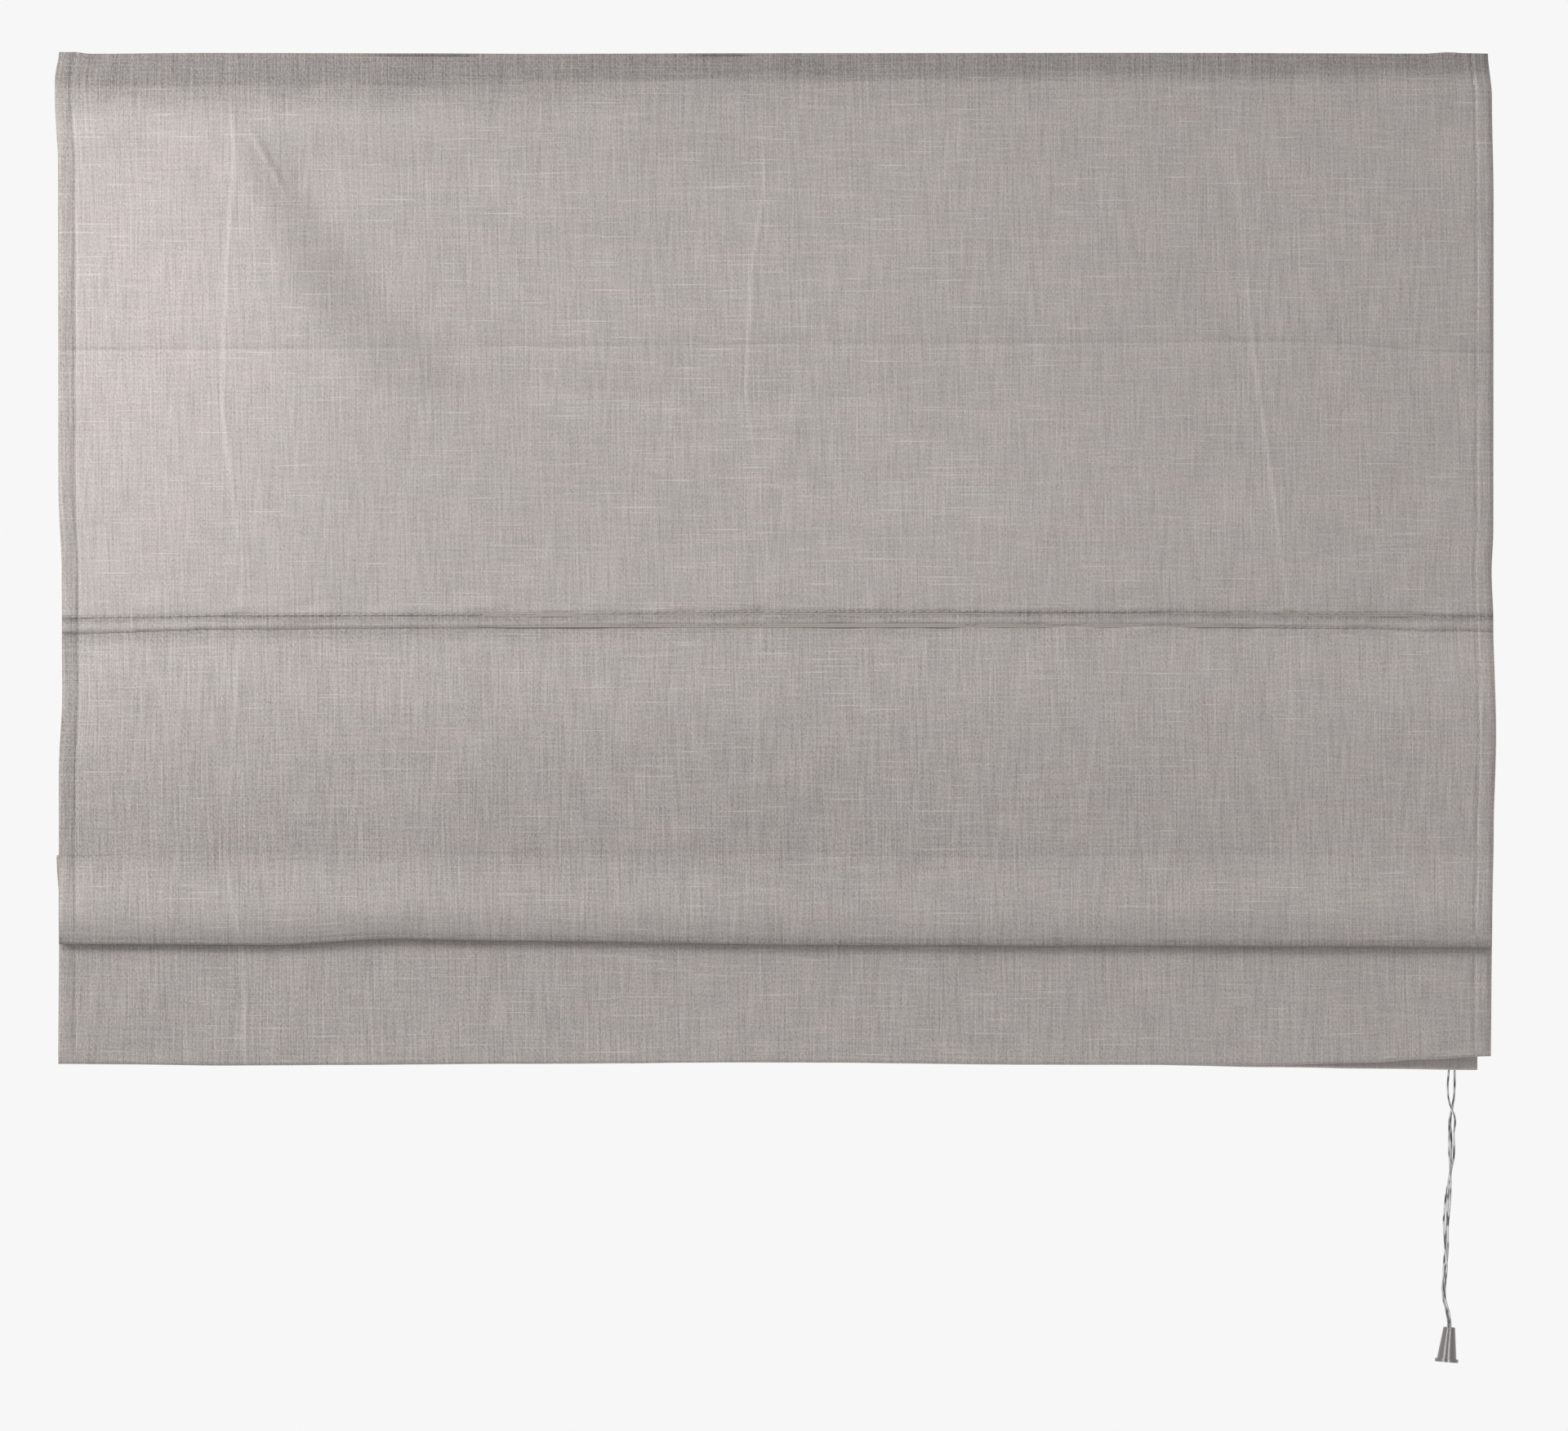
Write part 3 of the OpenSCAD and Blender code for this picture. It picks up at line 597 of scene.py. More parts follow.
# Heights of the pocket's two stitched rows from the upper rod, across the cloth
TOP_ROW = [(-600, 2.6), (-450, 4.4), (-250, 5), (-10, 7.4), (310, 7.6), (450, 5.6), (600, 4.6)]
FOOT_ROW = [(-600, -11), (-450, -7.2), (-250, -6), (-10, -3.4), (310, -3.6), (450, -6), (600, -8.8)]
# Places across where the lift cords pull at the pocket seam, and the spans in which they press the cloth
SEAM_PULLS = (-446, -11, 432)
PRESSED_SPANS = ((-470, -404), (-30, 2), (370, 443))
# Lines that the lift cords press into the cloth, by height: place across, and strength
PRESSED_LINES = (
    [(-845, -444), (-760, -445), (-673, -461), (-495, -449), (-433, -446), (-365, -455), (-297, -463),
     (-228, -461), (-175, -459), (-89, -453), (-34, -457)],
    [(-845, -10), (-618, -17), (-495, -14), (-433, -4), (-283, -24), (-180, -20), (-119, -10), (-30, -8)],
    [(-845, 437), (-762, 437), (-475, 431), (-365, 417), (-242, 400), (-126, 390), (-30, 377)],
)
PRESSED_STRENGTHS = (
    [(-840, 1.1), (-760, 1.1), (-700, 0.5), (-560, 0.6), (-490, 0.6), (-400, 0.6), (-300, 0.9), (-60, 1),
     (-30, 0.5)],
    [(-840, 0.1), (-640, 0.3), (-500, 0.6), (-420, 0.3), (-300, 0.7), (-250, 1), (-200, 1), (-125, 0.7),
     (-60, 0.1)],
    [(-840, 0.3), (-760, 0.5), (-640, 0.2), (-470, 0.5), (-330, 0.8), (-150, 0.7), (-30, 0.2)],
)
# The hollow at the upper left, by height: its left rim, its depth, and how far off it is deepest
HOLLOW_RIM = [
    (-372, -40), (-345, -140), (-315, -240), (-280, -322), (-230, -362), (-187, -388), (-112, -418),
    (-64, -440)]
HOLLOW_DEPTH = [(-400, 0), (-350, 4), (-315, 8), (-280, 13), (-187, 14), (-110, 9), (-50, 0)]
HOLLOW_WIDTH = [(-350, 130), (-280, 75), (-187, 40), (-110, 26)]
# Depth of the long dip that leads from the hollow to the right, by height
DIP_DEPTH = [(-462, 0), (-400, 4), (-350, 6), (-300, 5), (-220, 0)]
# Small ridges, and one dent: height, start and end of the line, width, and where it fades in and out
RIDGES = (
    (0.9, (-438, -66), (-412, -114), 2.6, (-0.2, 0.25), (0.6, 1.3)),
    (1.1, (-228, -300), (-180, -318), 5, (-0.3, 0.3), (0.7, 1.3)),
    (1.1, (-88, -350), (-36, -366), 5, (-0.3, 0.3), (0.7, 1.3)),
    (-1.6, (-533, -522), (-444, -591), 26, (-0.3, 0.2), (0.7, 1.3)),
)
# Height of the upper crease, and how sharp it is, across the cloth
UPPER_CREASE_LINE = [(-600, -248), (-300, -246), (100, -243), (424, -241), (600, -251)]
UPPER_CREASE_EDGE = [(-600, 1.5), (-400, 1.3), (-250, 0.7), (350, 0.7), (450, 1.2), (600, 1.3)]
# How far the side edges wander from straight, by height
LEFT_EDGE = [
    (-845, -1.1), (-741, -0.4), (-604, -0.4), (-536, 2.3), (-488, 1.8), (-433, 1.7), (-365, -1), (-92, -1.2),
    (-37, -3.8), (-23, -3.8), (0, -0.4)]
RIGHT_EDGE = [
    (-845, -1), (-727, -0.3), (-652, 1.1), (-570, 3.1), (-474, 1.1), (-433, -0.3), (-399, 1.1), (-122, 1.1),
    (-37, -0.3), (0, -3.7)]
# How far the top edge and the bottoms of the folds wander from level, across the cloth
TOP_EDGE = [
    (-600, 2), (-586, 2), (-574, 0.6), (-480, 1.3), (-300, 1), (-200, 0.6), (0, 1.1), (300, 1.4), (545, 0.8),
    (566, 1.9), (580, 1.1), (600, 0.8)]
FRONT_BOTTOM = [(-600, 0.7), (-424, 0), (-321, 4.8), (-212, 3.4), (34, 0), (226, -0.7), (600, -2.1)]
REAR_BOTTOM = [
    (-600, -0.9), (-438, -2.2), (-212, -0.9), (7, 0.5), (226, -1.5), (417, -1.8), (499, 0.2), (540, 2.7),
    (600, 5.5)]
HEM_BOTTOM = [(-600, 1), (200, 0), (300, -1.6), (417, -3.9), (499, -5.1), (600, -6.2)]
# Slots under the top edge where the turned hem gapes: start and end across the cloth
SLOTS = ((-345, -245), (-80, -12))
# Painted shade of the side hems, where the cloth is doubled, across the cloth and by height
SIDE_SHADE = [(-600, 1.1), (-560, 1.1), (560, 0.2), (600, 0.2)]
SIDE_SHADE_DOWN = [(-845, 0.15), (-700, 0.25), (-560, 1), (0, 1)]
# The heading's band of painted shade across the cloth: its height, the blur of its foot, its painted shade,
# the painted shade below it
HEAD_BAND = [(-600, 28), (-300, 26), (0, 21), (300, 18), (600, 15)]
HEAD_BLUR = [(-600, 2), (-300, 3), (0, 8), (600, 14)]
HEAD_SHADE = [(-600, 2.3), (-440, 2.1), (-330, 2), (20, 2), (140, 1.8), (370, 1.75), (600, 1.9)]
BELOW_HEAD = [
    (-600, 1.7), (-440, 1.4), (-210, 1.3), (-95, 0.6), (20, 0.55), (140, 0.35), (300, 0.2), (600, 0.1)]
# Painted shadow under the pocket's lower row, across the cloth
BELOW_SEAM = [(-600, 1), (-300, 0.9), (0, 0.3), (600, 0.1)]
# Painted shade of the front fold for the folds behind it, by height and across the cloth, and of the rear
# fold
PAINTED_FOLD_SHADE_DOWN = [
    (-738, 0.1), (-724, 0.35), (-710, 0.5), (-697, 0.65), (-683, 0.85), (-670, 1.15), (-656, 1), (-628, 0.9),
    (-601, 0.75), (-565, 0.5), (-530, 0.5), (-492, 0.5), (-470, 0)]
PAINTED_FOLD_SHADE_ACROSS = [(-600, 1.2), (-300, 1.1), (0, 1), (300, 0.65), (600, 0.35)]
REAR_SHADE = [(-600, 1), (-300, 0.8), (0, 0.6), (600, 0.4)]


class Drape:
    """Shape of the hung cloth, in millimetres: x across it and s down it from the top edge."""

    def __init__(self, sizes, seed):
        self.seed = seed
        thick = sizes.cloth_thickness / MM
        self.thick = thick
        self.hem = sizes.side_hem / MM
        low, high = (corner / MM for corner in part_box("cloth"))
        self.half = (high.x - low.x) / 2
        upper, middle, lower = (middle_of(rod + "_rod") for rod in RODS)
        rod_low, rod_high = (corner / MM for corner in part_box("upper_rod"))
        reach = (rod_high.y - rod_low.y) / 2 + ROD_ROOM + thick / 2
        head_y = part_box("loop_tape")[0].y / MM - thick / 2
        batten_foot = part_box("head_batten")[0].z / MM
        seam_y = upper.y - reach
        middle_z, lower_z = middle.z - reach, lower.z - reach
        pocket_low, pocket_high = (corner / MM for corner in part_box("middle_pocket"))
        crest_half = (pocket_high.y - pocket_low.y) / 2 + POCKET_ROOM
        front_y, back_y = middle.y - crest_half, middle.y + crest_half
        front_gap, rear_gap = sizes.front_gap / MM, sizes.rear_gap / MM
        rear_y = front_y - rear_gap
        inner_y = rear_y - thick - sizes.fold_space / MM
        fold_y = inner_y - front_gap
        belly_y = fold_y + front_gap / 2
        pitch = sizes.rod_pitch / MM
        front_z = (upper.z + middle_z - pitch + thick) / 2
        rear_z = (middle_z + lower_z - pitch + thick) / 2
        hem_z = low.z + thick / 2
        bar_low, bar_high = (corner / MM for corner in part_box("bottom_bar"))
        hem_gap = 2 * (bar_low.y - back_y) + bar_high.y - bar_low.y
        front_bend, rear_bend, hem_bend = (TURN_SHARE * gap for gap in (front_gap, rear_gap, hem_gap))
        self.seam_z = upper.z
        # Side profile: depth, height and radius of each corner, from the top edge to the end of the hem
        corners = [
            (head_y, high.z, 0), (head_y, batten_foot - 4, 120),
            (seam_y, upper.z + 20, 60), (seam_y, upper.z - 12, 25),
            (belly_y, upper.z - 70, 160), (fold_y, front_z, front_bend),
            (inner_y, front_z, front_bend), (inner_y, lower_z + 30, 80),
            (front_y, middle_z - 25, 60), (front_y, middle_z, CREST_RADIUS),
            (back_y, middle_z, CREST_RADIUS), (back_y, middle_z - 20, 40),
            (rear_y, lower_z + 20, 80), (rear_y, rear_z, rear_bend),
            (front_y, rear_z, rear_bend), (front_y, lower_z, CREST_RADIUS),
            (back_y, lower_z, CREST_RADIUS), (back_y, hem_z, hem_bend),
            (back_y + hem_gap, hem_z, hem_bend), (back_y + hem_gap, hem_z + sizes.bottom_hem / MM, 0),
        ]
        self.path, middles = rounded_path(corners)
        self.at = lengths_along(self.path)
        self.length = self.at[-1]
        tangent = unit(np.gradient(self.path, self.at, axis=0))
        self.facing = np.stack([tangent[:, 1], -tangent[:, 0]], axis=1)
        # Places down the cloth, from the corners by their number in the list above
        marks = [self.at[k] for k in middles]
        self.fold = (marks[5] + marks[6]) / 2
        self.turn = marks[5] - front_gap / 2
        self.crest = marks[10]
        self.rear_start = marks[12]
        self.rear_fold = (marks[13] + marks[14]) / 2
        self.low_crest = marks[15]
        self.hem_turn = (marks[17] + marks[18]) / 2
        self.front_z = front_z

    def height(self, s):
        """Height of the plain profile at a place down the cloth."""
        return np.interp(s, self.at, self.path[:, 1])

    def down_to(self, z, after=0):
        """Place s at which the cloth, going down from the place after, first reaches height z."""
        k = np.searchsorted(self.at, after)
        below = np.nonzero(self.path[k:, 1] <= z)[0][0] + k
        z0, z1 = self.path[below - 1, 1], self.path[below, 1]
        return self.at[below - 1] + (self.at[below] - self.at[below - 1]) * (z0 - z) / max(z0 - z1, 1e-9)

    def stops(self):
        """Places down the cloth where one piece of it ends and the next starts."""
        head_end, seam_start, seam_end = (self.down_to(z) for z in (HEAD_FOOT, SEAM_HEAD, SEAM_FOOT))
        gather_end = self.down_to(GATHER_FOOT, after=self.crest)
        return [0, head_end, seam_start, seam_end, self.turn, self.crest + 3, gather_end, self.length]

    def seam_rows(self, x):
        """Heights of the two stitched rows that hold the upper rod pocket."""
        return tuple(self.seam_z + through(x, row) for row in (TOP_ROW, FOOT_ROW))

    def lift_marks(self, x, z):
        """Where the lift cords behind press and rub the cloth: 1 on the line, 0 away from it."""
        pressed = 0
        for line, strength in zip(PRESSED_LINES, PRESSED_STRENGTHS):
            pressed = pressed + through(z, strength) * bell(x - np.interp(z, *zip(*line)), 1.7)
        return pressed

    def slack_relief(self, x, z):
        """Gentle waves, and at the upper left a bulge, a hollow and small ridges in the slack cloth."""
        waves = 1.1 * soft_noise(x, z, 150, self.seed) + 0.5 * soft_noise(x, z, 62, self.seed + 1)
        waves += 0.16 * soft_noise(x, z, 24, self.seed + 2)
        bulge = 9 * bell(x + 410, 150) * bell(z + 280, 200)
        # Less than the distance across, because the rim runs on the slant
        away = 0.75 * (x - np.interp(z, *zip(*HOLLOW_RIM)))
        inside = ease(away, -20, through(z, HOLLOW_WIDTH)) * (1 - ease(away, 90, 500))
        hollow = through(z, HOLLOW_DEPTH) * inside
        dip = through(z, DIP_DEPTH) * ease(x, -270, -20) * (1 - ease(x, -10, 590))
        pucker = 3.2 * bell(x + 570, 22) * bell(z + 70, 10)
        ridges = sum(high * ridge(x, z, *line) for high, *line in RIDGES)
        return waves + bulge - hollow - dip + pucker + ridges

    def crease_relief(self, x, z):
        """Two creases from packing, sharper in some places than in others."""
        patchy = 0.65 + 0.35 * soft_noise(x, 0 * z, 90, self.seed + 3)
        above = z - through(x, UPPER_CREASE_LINE)
        edge = through(x, UPPER_CREASE_EDGE)
        upper = (0.5 * edge * bell(above, 1.6) + 2 * cusp(above, 10)) * np.maximum(patchy, 0.6 * edge)
        above = z - LOWER_CREASE - 3.5 * soft_noise(x, 0 * z, 95, self.seed + 4)
        lower = (0.3 * bell(above, 1.6) + 1.9 * cusp(above, 15)) * patchy
        return -upper - lower

    def seam_relief(self, x, z):
        """The pocket seam: two drawn-in rows with the tape's edge standing up between them."""
        top, foot = self.seam_rows(x)
        pucker = 1 + 0.45 * soft_noise(x, 0 * z, 9, self.seed + 5)
        relief = -1.5 * pucker * (bell(z - top + 1.8, 1.5) + 0.7 * bell(z - foot, 1.5))
        relief += 0.7 * bell(z - (top + foot) / 2, (top - foot) / 3)
        relief -= 1.3 * (cusp(z - top - 1, 12) * (z > top) + cusp(z - foot + 1, 12) * (z < foot))
        for pull in SEAM_PULLS:
            relief -= 1.3 * bell(x - pull, 8) * bell(z - top, 4)
        return relief + 0.9 * soft_noise(x, 3 * z, 24, self.seed + 9) * bell(z - self.seam_z, 20)

    def front_relief(self, x, z):
        """How far the front panels stand out towards the room."""
        relief = self.slack_relief(x, z) + self.crease_relief(x, z) + self.seam_relief(x, z)
        return relief + 0.45 * self.lift_marks(x, z)

    def fold_swell(self, z):
        """How far the front fold swells forward before it turns under."""
        crown, turn = self.front_z + 30, self.front_z + 3
        under = np.clip((crown - z) / (crown - turn), 0, 1)
        return 8 * bell(np.maximum(z - crown, 0), 34) * (1 - under ** 2)

    def edge_relief(self, x, z):
        """Drawn-in stitching and rolled edges of the side hems."""
        stitched = np.abs(x) - (self.half - self.hem)
        pucker = 1 + 0.6 * soft_noise(np.sign(x) * 500 + 0 * x, z, 9, self.seed + 6)
        rolled = ease(np.abs(x), self.half - 4, self.half)
        return -0.5 * pucker * bell(stitched, 1.3) - 1.1 * rolled + 0.25 * ease(stitched, 0, 3)

    def sideways(self, x, s, z):
        """How far the side edges wander from straight."""
        behind = ease(s, self.rear_fold + 20, self.low_crest - 20)
        right = through(z, RIGHT_EDGE) * (1 - behind) - 12 * behind
        pocket_end = bell(s - self.low_crest, 34)
        left = through(z, LEFT_EDGE) * (1 - behind) + behind * 0.8 - 3.4 * pocket_end
        return left * ease(-x, self.half - 90, self.half) + right * ease(x, self.half - 90, self.half)

    def up_and_down(self, x, s):
        """How far the top edge and the bottoms of the folds wander from level."""
        edges = (
            (TOP_EDGE, 0, 40), (FRONT_BOTTOM, self.fold, 75), (REAR_BOTTOM, self.rear_fold, 75),
            (HEM_BOTTOM, self.hem_turn, 60))
        return sum(through(x, edge) * (1 - ease(np.abs(s - at), 0, reach)) for edge, at, reach in edges)

    def points(self, x, s):
        """Points of the cloth's middle surface."""
        depth, height = np.interp(s, self.at, self.path[:, 0]), self.height(s)
        facing_y, facing_z = (np.interp(s, self.at, self.facing[:, k]) for k in (0, 1))
        size = np.hypot(facing_y, facing_z)
        front = 1 - ease(s, self.turn - 14, self.turn)
        heading = ease(s, 4, 60)
        lower = ease(s, self.rear_start, self.rear_start + 50)
        lower = lower * (1 - ease(s, self.rear_fold - 14, self.rear_fold))
        slack = 0.35 * soft_noise(x, height, 70, self.seed + 7)
        slack += 0.2 * soft_noise(x, height, 26, self.seed + 8)
        relief = front * (0.15 + 0.85 * heading) * self.front_relief(x, height)
        relief += (s < self.turn) * self.fold_swell(height)
        relief += lower * (1.6 * slack + 0.45 * self.lift_marks(x, height))
        relief += (1 - front) * (1 - lower) * 0.5 * slack
        relief += (front + lower) * self.edge_relief(x, height)
        return np.stack(np.broadcast_arrays(
            x + self.sideways(x, s, height), depth + relief * facing_y / size,
            height + relief * facing_z / size + self.up_and_down(x, s)), axis=-1)

    def slots(self, x, s):
        """Slots just under the top edge, where the turned hem gapes and a painted shadow darkens the front:
        1 in a slot.
        """
        gape = sum(ease(x, start, start + 25) * (1 - ease(x, end - 25, end)) for start, end in SLOTS)
        return gape * bell(s - 2, 0.9)

    def side_hem(self, x):
        """1 on the side hems, 0 between them."""
        return ease(np.abs(x), self.half - self.hem - 1, self.half - self.hem + 1)

    def sewn(self, x, s):
        """How far the cloth is doubled by its hems: 1 where it is."""
        head = 1 - ease(s, 20, 28)
        return np.maximum(self.side_hem(x), head) * (s < self.hem_turn)

    def head_shade(self, x, s):
        """Painted shade: a dark band where tape and hem lie behind the heading, and a softer painted shade
        below it.
        """
        band = through(x, HEAD_BAND) + 1.6 * soft_noise(x, 0 * x, 45, self.seed + 10)
        head = 1 - ease((s - band) / through(x, HEAD_BLUR), -0.5, 1)
        return np.maximum(head * through(x, HEAD_SHADE), through(x, BELOW_HEAD) * (1 - ease(s, 24, 60)))

    def seam_shade(self, x, s):
        """Painted shadow under each of the pocket's two rows."""
        under_top, under_foot = (row - self.height(s) for row in self.seam_rows(x))
        seam = 2 * ease(under_top, -3, 1) * (1 - ease(under_top, 3, 8))
        seam = seam + through(x, BELOW_SEAM) * ease(under_foot, -1, 1) * (1 - ease(under_foot, 2, 16))
        return seam * (s < self.turn)

    def painted_fold_shade(self, x, s):
        """Painted shade of the folds for the cloth stacked behind them, darkest in a painted shadow where
        the front fold tucks under.
        """
        fold_shade = through(self.height(s), PAINTED_FOLD_SHADE_DOWN) * through(x, PAINTED_FOLD_SHADE_ACROSS) * (s < self.turn)
        rear = ease(s, self.rear_start, self.rear_start + 60) * (s < self.rear_fold)
        fold_shade = fold_shade + through(x, REAR_SHADE) * rear
        fold_shade = fold_shade + 0.3 * ease(s, self.turn - 30, self.turn) * (s < self.rear_start)
        # Painted shadow where the front fold tucks under
        tucked = ease(s, self.turn - 3, self.turn + 1.5) * (1 - ease(s, self.turn + 20, self.turn + 60))
        return fold_shade + 1.4 * tucked

    def layers(self, x, s):
        """Painted shade: how much darker the cloth is coloured where hems double it, and under the heading,
        the seam and the folds.
        """
        side = self.side_hem(x) * through(x, SIDE_SHADE) * through(self.height(s), SIDE_SHADE_DOWN)
        bottom = ease(s, self.hem_turn - 2, self.hem_turn)
        # Painted shade of the doubled side and bottom hems and of the heading
        hems = np.maximum.reduce(np.broadcast_arrays(side, self.head_shade(x, s), bottom))
        return hems + self.painted_fold_shade(x, s) + self.seam_shade(x, s)

    def rubbed(self, x, s):
        """How much paler the cloth is: rubbed by the lift cords, and painted light along the bottom edge."""
        shown = (s < self.turn) | ((s > self.rear_start) & (s < self.rear_fold))
        # Painted light on the bottom edge, which lies in shade behind the folds
        painted_light_edge = ease(s, self.hem_turn - 16, self.hem_turn - 6) * (s < self.hem_turn + 4)
        return self.lift_marks(x, self.height(s)) * shown + painted_light_edge

    def columns(self):
        """Places across the cloth, closer at the edges, the hem stitching and the lift lines."""
        half, stitched = self.half, self.half - self.hem
        near_stitches = np.arange(stitched - 5, stitched + 6, 1.0)
        edges = np.array([half, half - 1, half - 2.2, half - 4, *near_stitches])
        lines = [np.arange(a, b, 1.7) for a, b in PRESSED_SPANS]
        return thinned(np.concatenate([np.linspace(-half, half, 201), edges, -edges, *lines]), 0.8)

    def rows(self):
        """Places down the cloth, closer at the top edge, the creases, the seam and the folds."""
        shown = np.arange(0, self.turn, 5.0)
        hidden = np.arange(self.turn, self.rear_start, 9.0)
        lower = np.arange(self.rear_start, self.rear_fold, 5.5)
        back = np.arange(self.rear_fold, self.length, 9.0)
        top = np.arange(0, 6, 0.8)
        seam = np.arange(self.down_to(self.seam_z + 12), self.down_to(self.seam_z - 15), 0.9)
        creases = [
            np.arange(self.down_to(z + 9), self.down_to(z - 9), 1.1) for z in (UPPER_CREASE, LOWER_CREASE)]
        return thinned(np.concatenate([shown, hidden, lower, back, top, seam, *creases, self.at]), 0.55)


def thinned(values, least):
    """Sorted values, with those that crowd the one before them left out; both ends stay."""
    values = np.sort(values)
    kept = [values[0]]
    for value in values[1:-1]:
        if value - kept[-1] >= least and values[-1] - value >= least:
            kept.append(value)
    return np.array([*kept, values[-1]])


def grid_faces(rows, columns, base, flip):
    """Quads of a grid of points that starts at the index base."""
    r, c = np.meshgrid(np.arange(rows - 1), np.arange(columns - 1), indexing="ij")
    first = (base + r * columns + c).ravel()
    quads = np.stack([first, first + columns, first + columns + 1, first + 1], axis=1)
    return (quads[:, ::-1] if flip else quads).tolist()


def rim_faces(rows, columns, back):
    """Quads that close the four edges between the front grid and the back grid."""
    edge = [r * columns for r in range(rows)]
    edge += [(rows - 1) * columns + c for c in range(1, columns)]
    edge += [r * columns + columns - 1 for r in range(rows - 2, -1, -1)]
    edge += [c for c in range(columns - 2, 0, -1)]
    return [(b, a, a + back, b + back) for a, b in zip(edge, edge[1:] + edge[:1])]


def surface_normals(points):
    """Unit normals of a grid of points."""
    down, across = np.gradient(points, axis=0), np.gradient(points, axis=1)
    return unit(np.cross(down, across))


# Pieces of the cloth from the top down: the body that carries each, and the joint that squashes it
CLOTH_BODIES = {
    "heading": "root", "top_panel": "root",
    "seam_band": "upper_stiffener", "front_panel": "upper_stiffener",
    "front_fold": "middle_stiffener", "gather": "middle_stiffener", "lower_fold": "lower_stiffener",
}
CLOTH_SQUASHES = {"top_panel": "lift", "front_panel": "gather_middle", "gather": "gather_lower"}


def hung_cloth():
    """Shape of the cloth for the scene's sizes."""
    scene = bpy.context.scene
    return Drape(scene.blind_sizes, scene.blind_stage.seed)


def follow_cloth(piece, name, drape):
    """Lets a piece move as that part of the cloth does."""
    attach(piece, CLOTH_BODIES[name])
    joint = CLOTH_SQUASHES.get(name)
    if joint:
        k = list(CLOTH_BODIES).index(name)
        top, foot = drape.height(drape.stops()[k:k + 2])
        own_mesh(piece)


def make_cloth():
    """One cloth in seven pieces, so that each can follow the body that carries it."""
    drape = hung_cloth()
    stops = drape.stops()
    rows = drape.rows()
    rows = thinned(np.concatenate([rows[np.abs(rows[:, None] - stops).min(axis=1) > 0.6], stops]), 0.3)
    columns = drape.columns()
    x, s = columns[None, :], rows[:, None]
    sheet = drape.points(x, s)
    facing = surface_normals(sheet)
    layers, rubbed = drape.layers(x, s), drape.rubbed(x, s)
    slots = drape.slots(x, s)
    front = sheet + facing * (drape.thick / 2 - 0.6 * slots)[..., None]
    back = sheet - facing * (drape.thick / 2 + 0.7 * drape.sewn(x, s))[..., None]
    front_facing, back_facing = surface_normals(front), -surface_normals(back)
    uv = np.stack(np.broadcast_arrays(x, -s), axis=-1) * MM
    material = shared(linen)
    # What the front and the back of the cloth carry at each point
    sides = {
        "points": (front, back),
        "normals": (front_facing, back_facing),
        "uv": (uv, uv),
        # The front carries a painted shadow in the slots under the top edge
        "layers": (layers + 2 * slots, layers),
        "rubbed": (rubbed, 0 * rubbed),
    }
    for name, start, end in zip(CLOTH_BODIES, stops, stops[1:]):
        span = slice(np.argmin(np.abs(rows - start)), np.argmin(np.abs(rows - end)) + 1)
        count = span.stop - span.start
        size = count * len(columns)
        faces = grid_faces(count, len(columns), 0, False)
        faces += grid_faces(count, len(columns), size, True)
        faces += rim_faces(count, len(columns), size)
        both = {}
        for key, pair in sides.items():
            both[key] = np.concatenate([side[span].reshape(size, -1) for side in pair])
        piece = new_piece(
            "cloth_" + name, both["points"], faces, material, "cut", both["uv"], both["normals"],
            layers=both["layers"].ravel(), rubbed=both["rubbed"].ravel())
        follow_cloth(piece, name, drape)
        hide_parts("cloth")


def stitch_tree():
    """Node group that lays a short thread at each point, turned along its seam."""
    tree = bpy.data.node_groups.new("stitches", "GeometryNodeTree")
    sockets = (
        ("Points", "INPUT", "NodeSocketGeometry"), ("Length", "INPUT", "NodeSocketFloat"),
        ("Thickness", "INPUT", "NodeSocketFloat"), ("Thread", "INPUT", "NodeSocketMaterial"),
        ("Stitches", "OUTPUT", "NodeSocketGeometry"))
    for name, side, kind in sockets:
        tree.interface.new_socket(name, in_out=side, socket_type=kind)
    given = add(tree, "NodeGroupInput").outputs
    along = add(tree, "GeometryNodeInputNamedAttribute", {"Name": "along"}, data_type="FLOAT_VECTOR")
    turn = add(tree, "FunctionNodeAlignRotationToVector", {"Vector": along.outputs["Attribute"]}, axis="X")
    uneven = add(tree, "FunctionNodeRandomValue", {2: 0.75, 3: 1.1, "Seed": 5}, data_type="FLOAT")
    long = add(tree, "ShaderNodeMath", {
        0: given["Length"], 1: uneven.outputs[1]}, operation="MULTIPLY").outputs[0]
    size = add(tree, "ShaderNodeCombineXYZ", {0: long, 1: given["Thickness"], 2: given["Thickness"]})
    thread = add(tree, "GeometryNodeMeshUVSphere", {"Segments": 8, "Rings": 5, "Radius": 0.5})
    laid = add(tree, "GeometryNodeInstanceOnPoints", {
        "Points": given["Points"], "Instance": thread.outputs["Mesh"],
        "Rotation": turn.outputs["Rotation"], "Scale": size.outputs["Vector"]})
    plain = add(tree, "GeometryNodeRealizeInstances", {"Geometry": laid.outputs["Instances"]})
    dyed = add(tree, "GeometryNodeSetMaterial", {
        "Geometry": plain.outputs["Geometry"], "Material": given["Thread"]})
    add(tree, "NodeGroupOutput", {"Stitches": dyed.outputs["Geometry"]})
    return tree


def stitched(name, tree, points, along):
    """Stitches at the given points as one plain mesh."""
    sizes = bpy.context.scene.blind_sizes
    material = shared(sewing_thread)
    piece = new_piece(name, points, [], material, along=along)
    modifier = piece.modifiers.new("stitches", "NODES")
    modifier.node_group = tree
    values = {"Length": sizes.stitch_length, "Thickness": sizes.thread_diameter, "Thread": material}
    for socket in tree.interface.items_tree:
        if socket.name in values:
            modifier[socket.identifier] = values[socket.name]
    mesh = bpy.data.meshes.new_from_object(piece.evaluated_get(bpy.context.evaluated_depsgraph_get()))
    piece.modifiers.clear()
    piece.data = mesh
    return piece


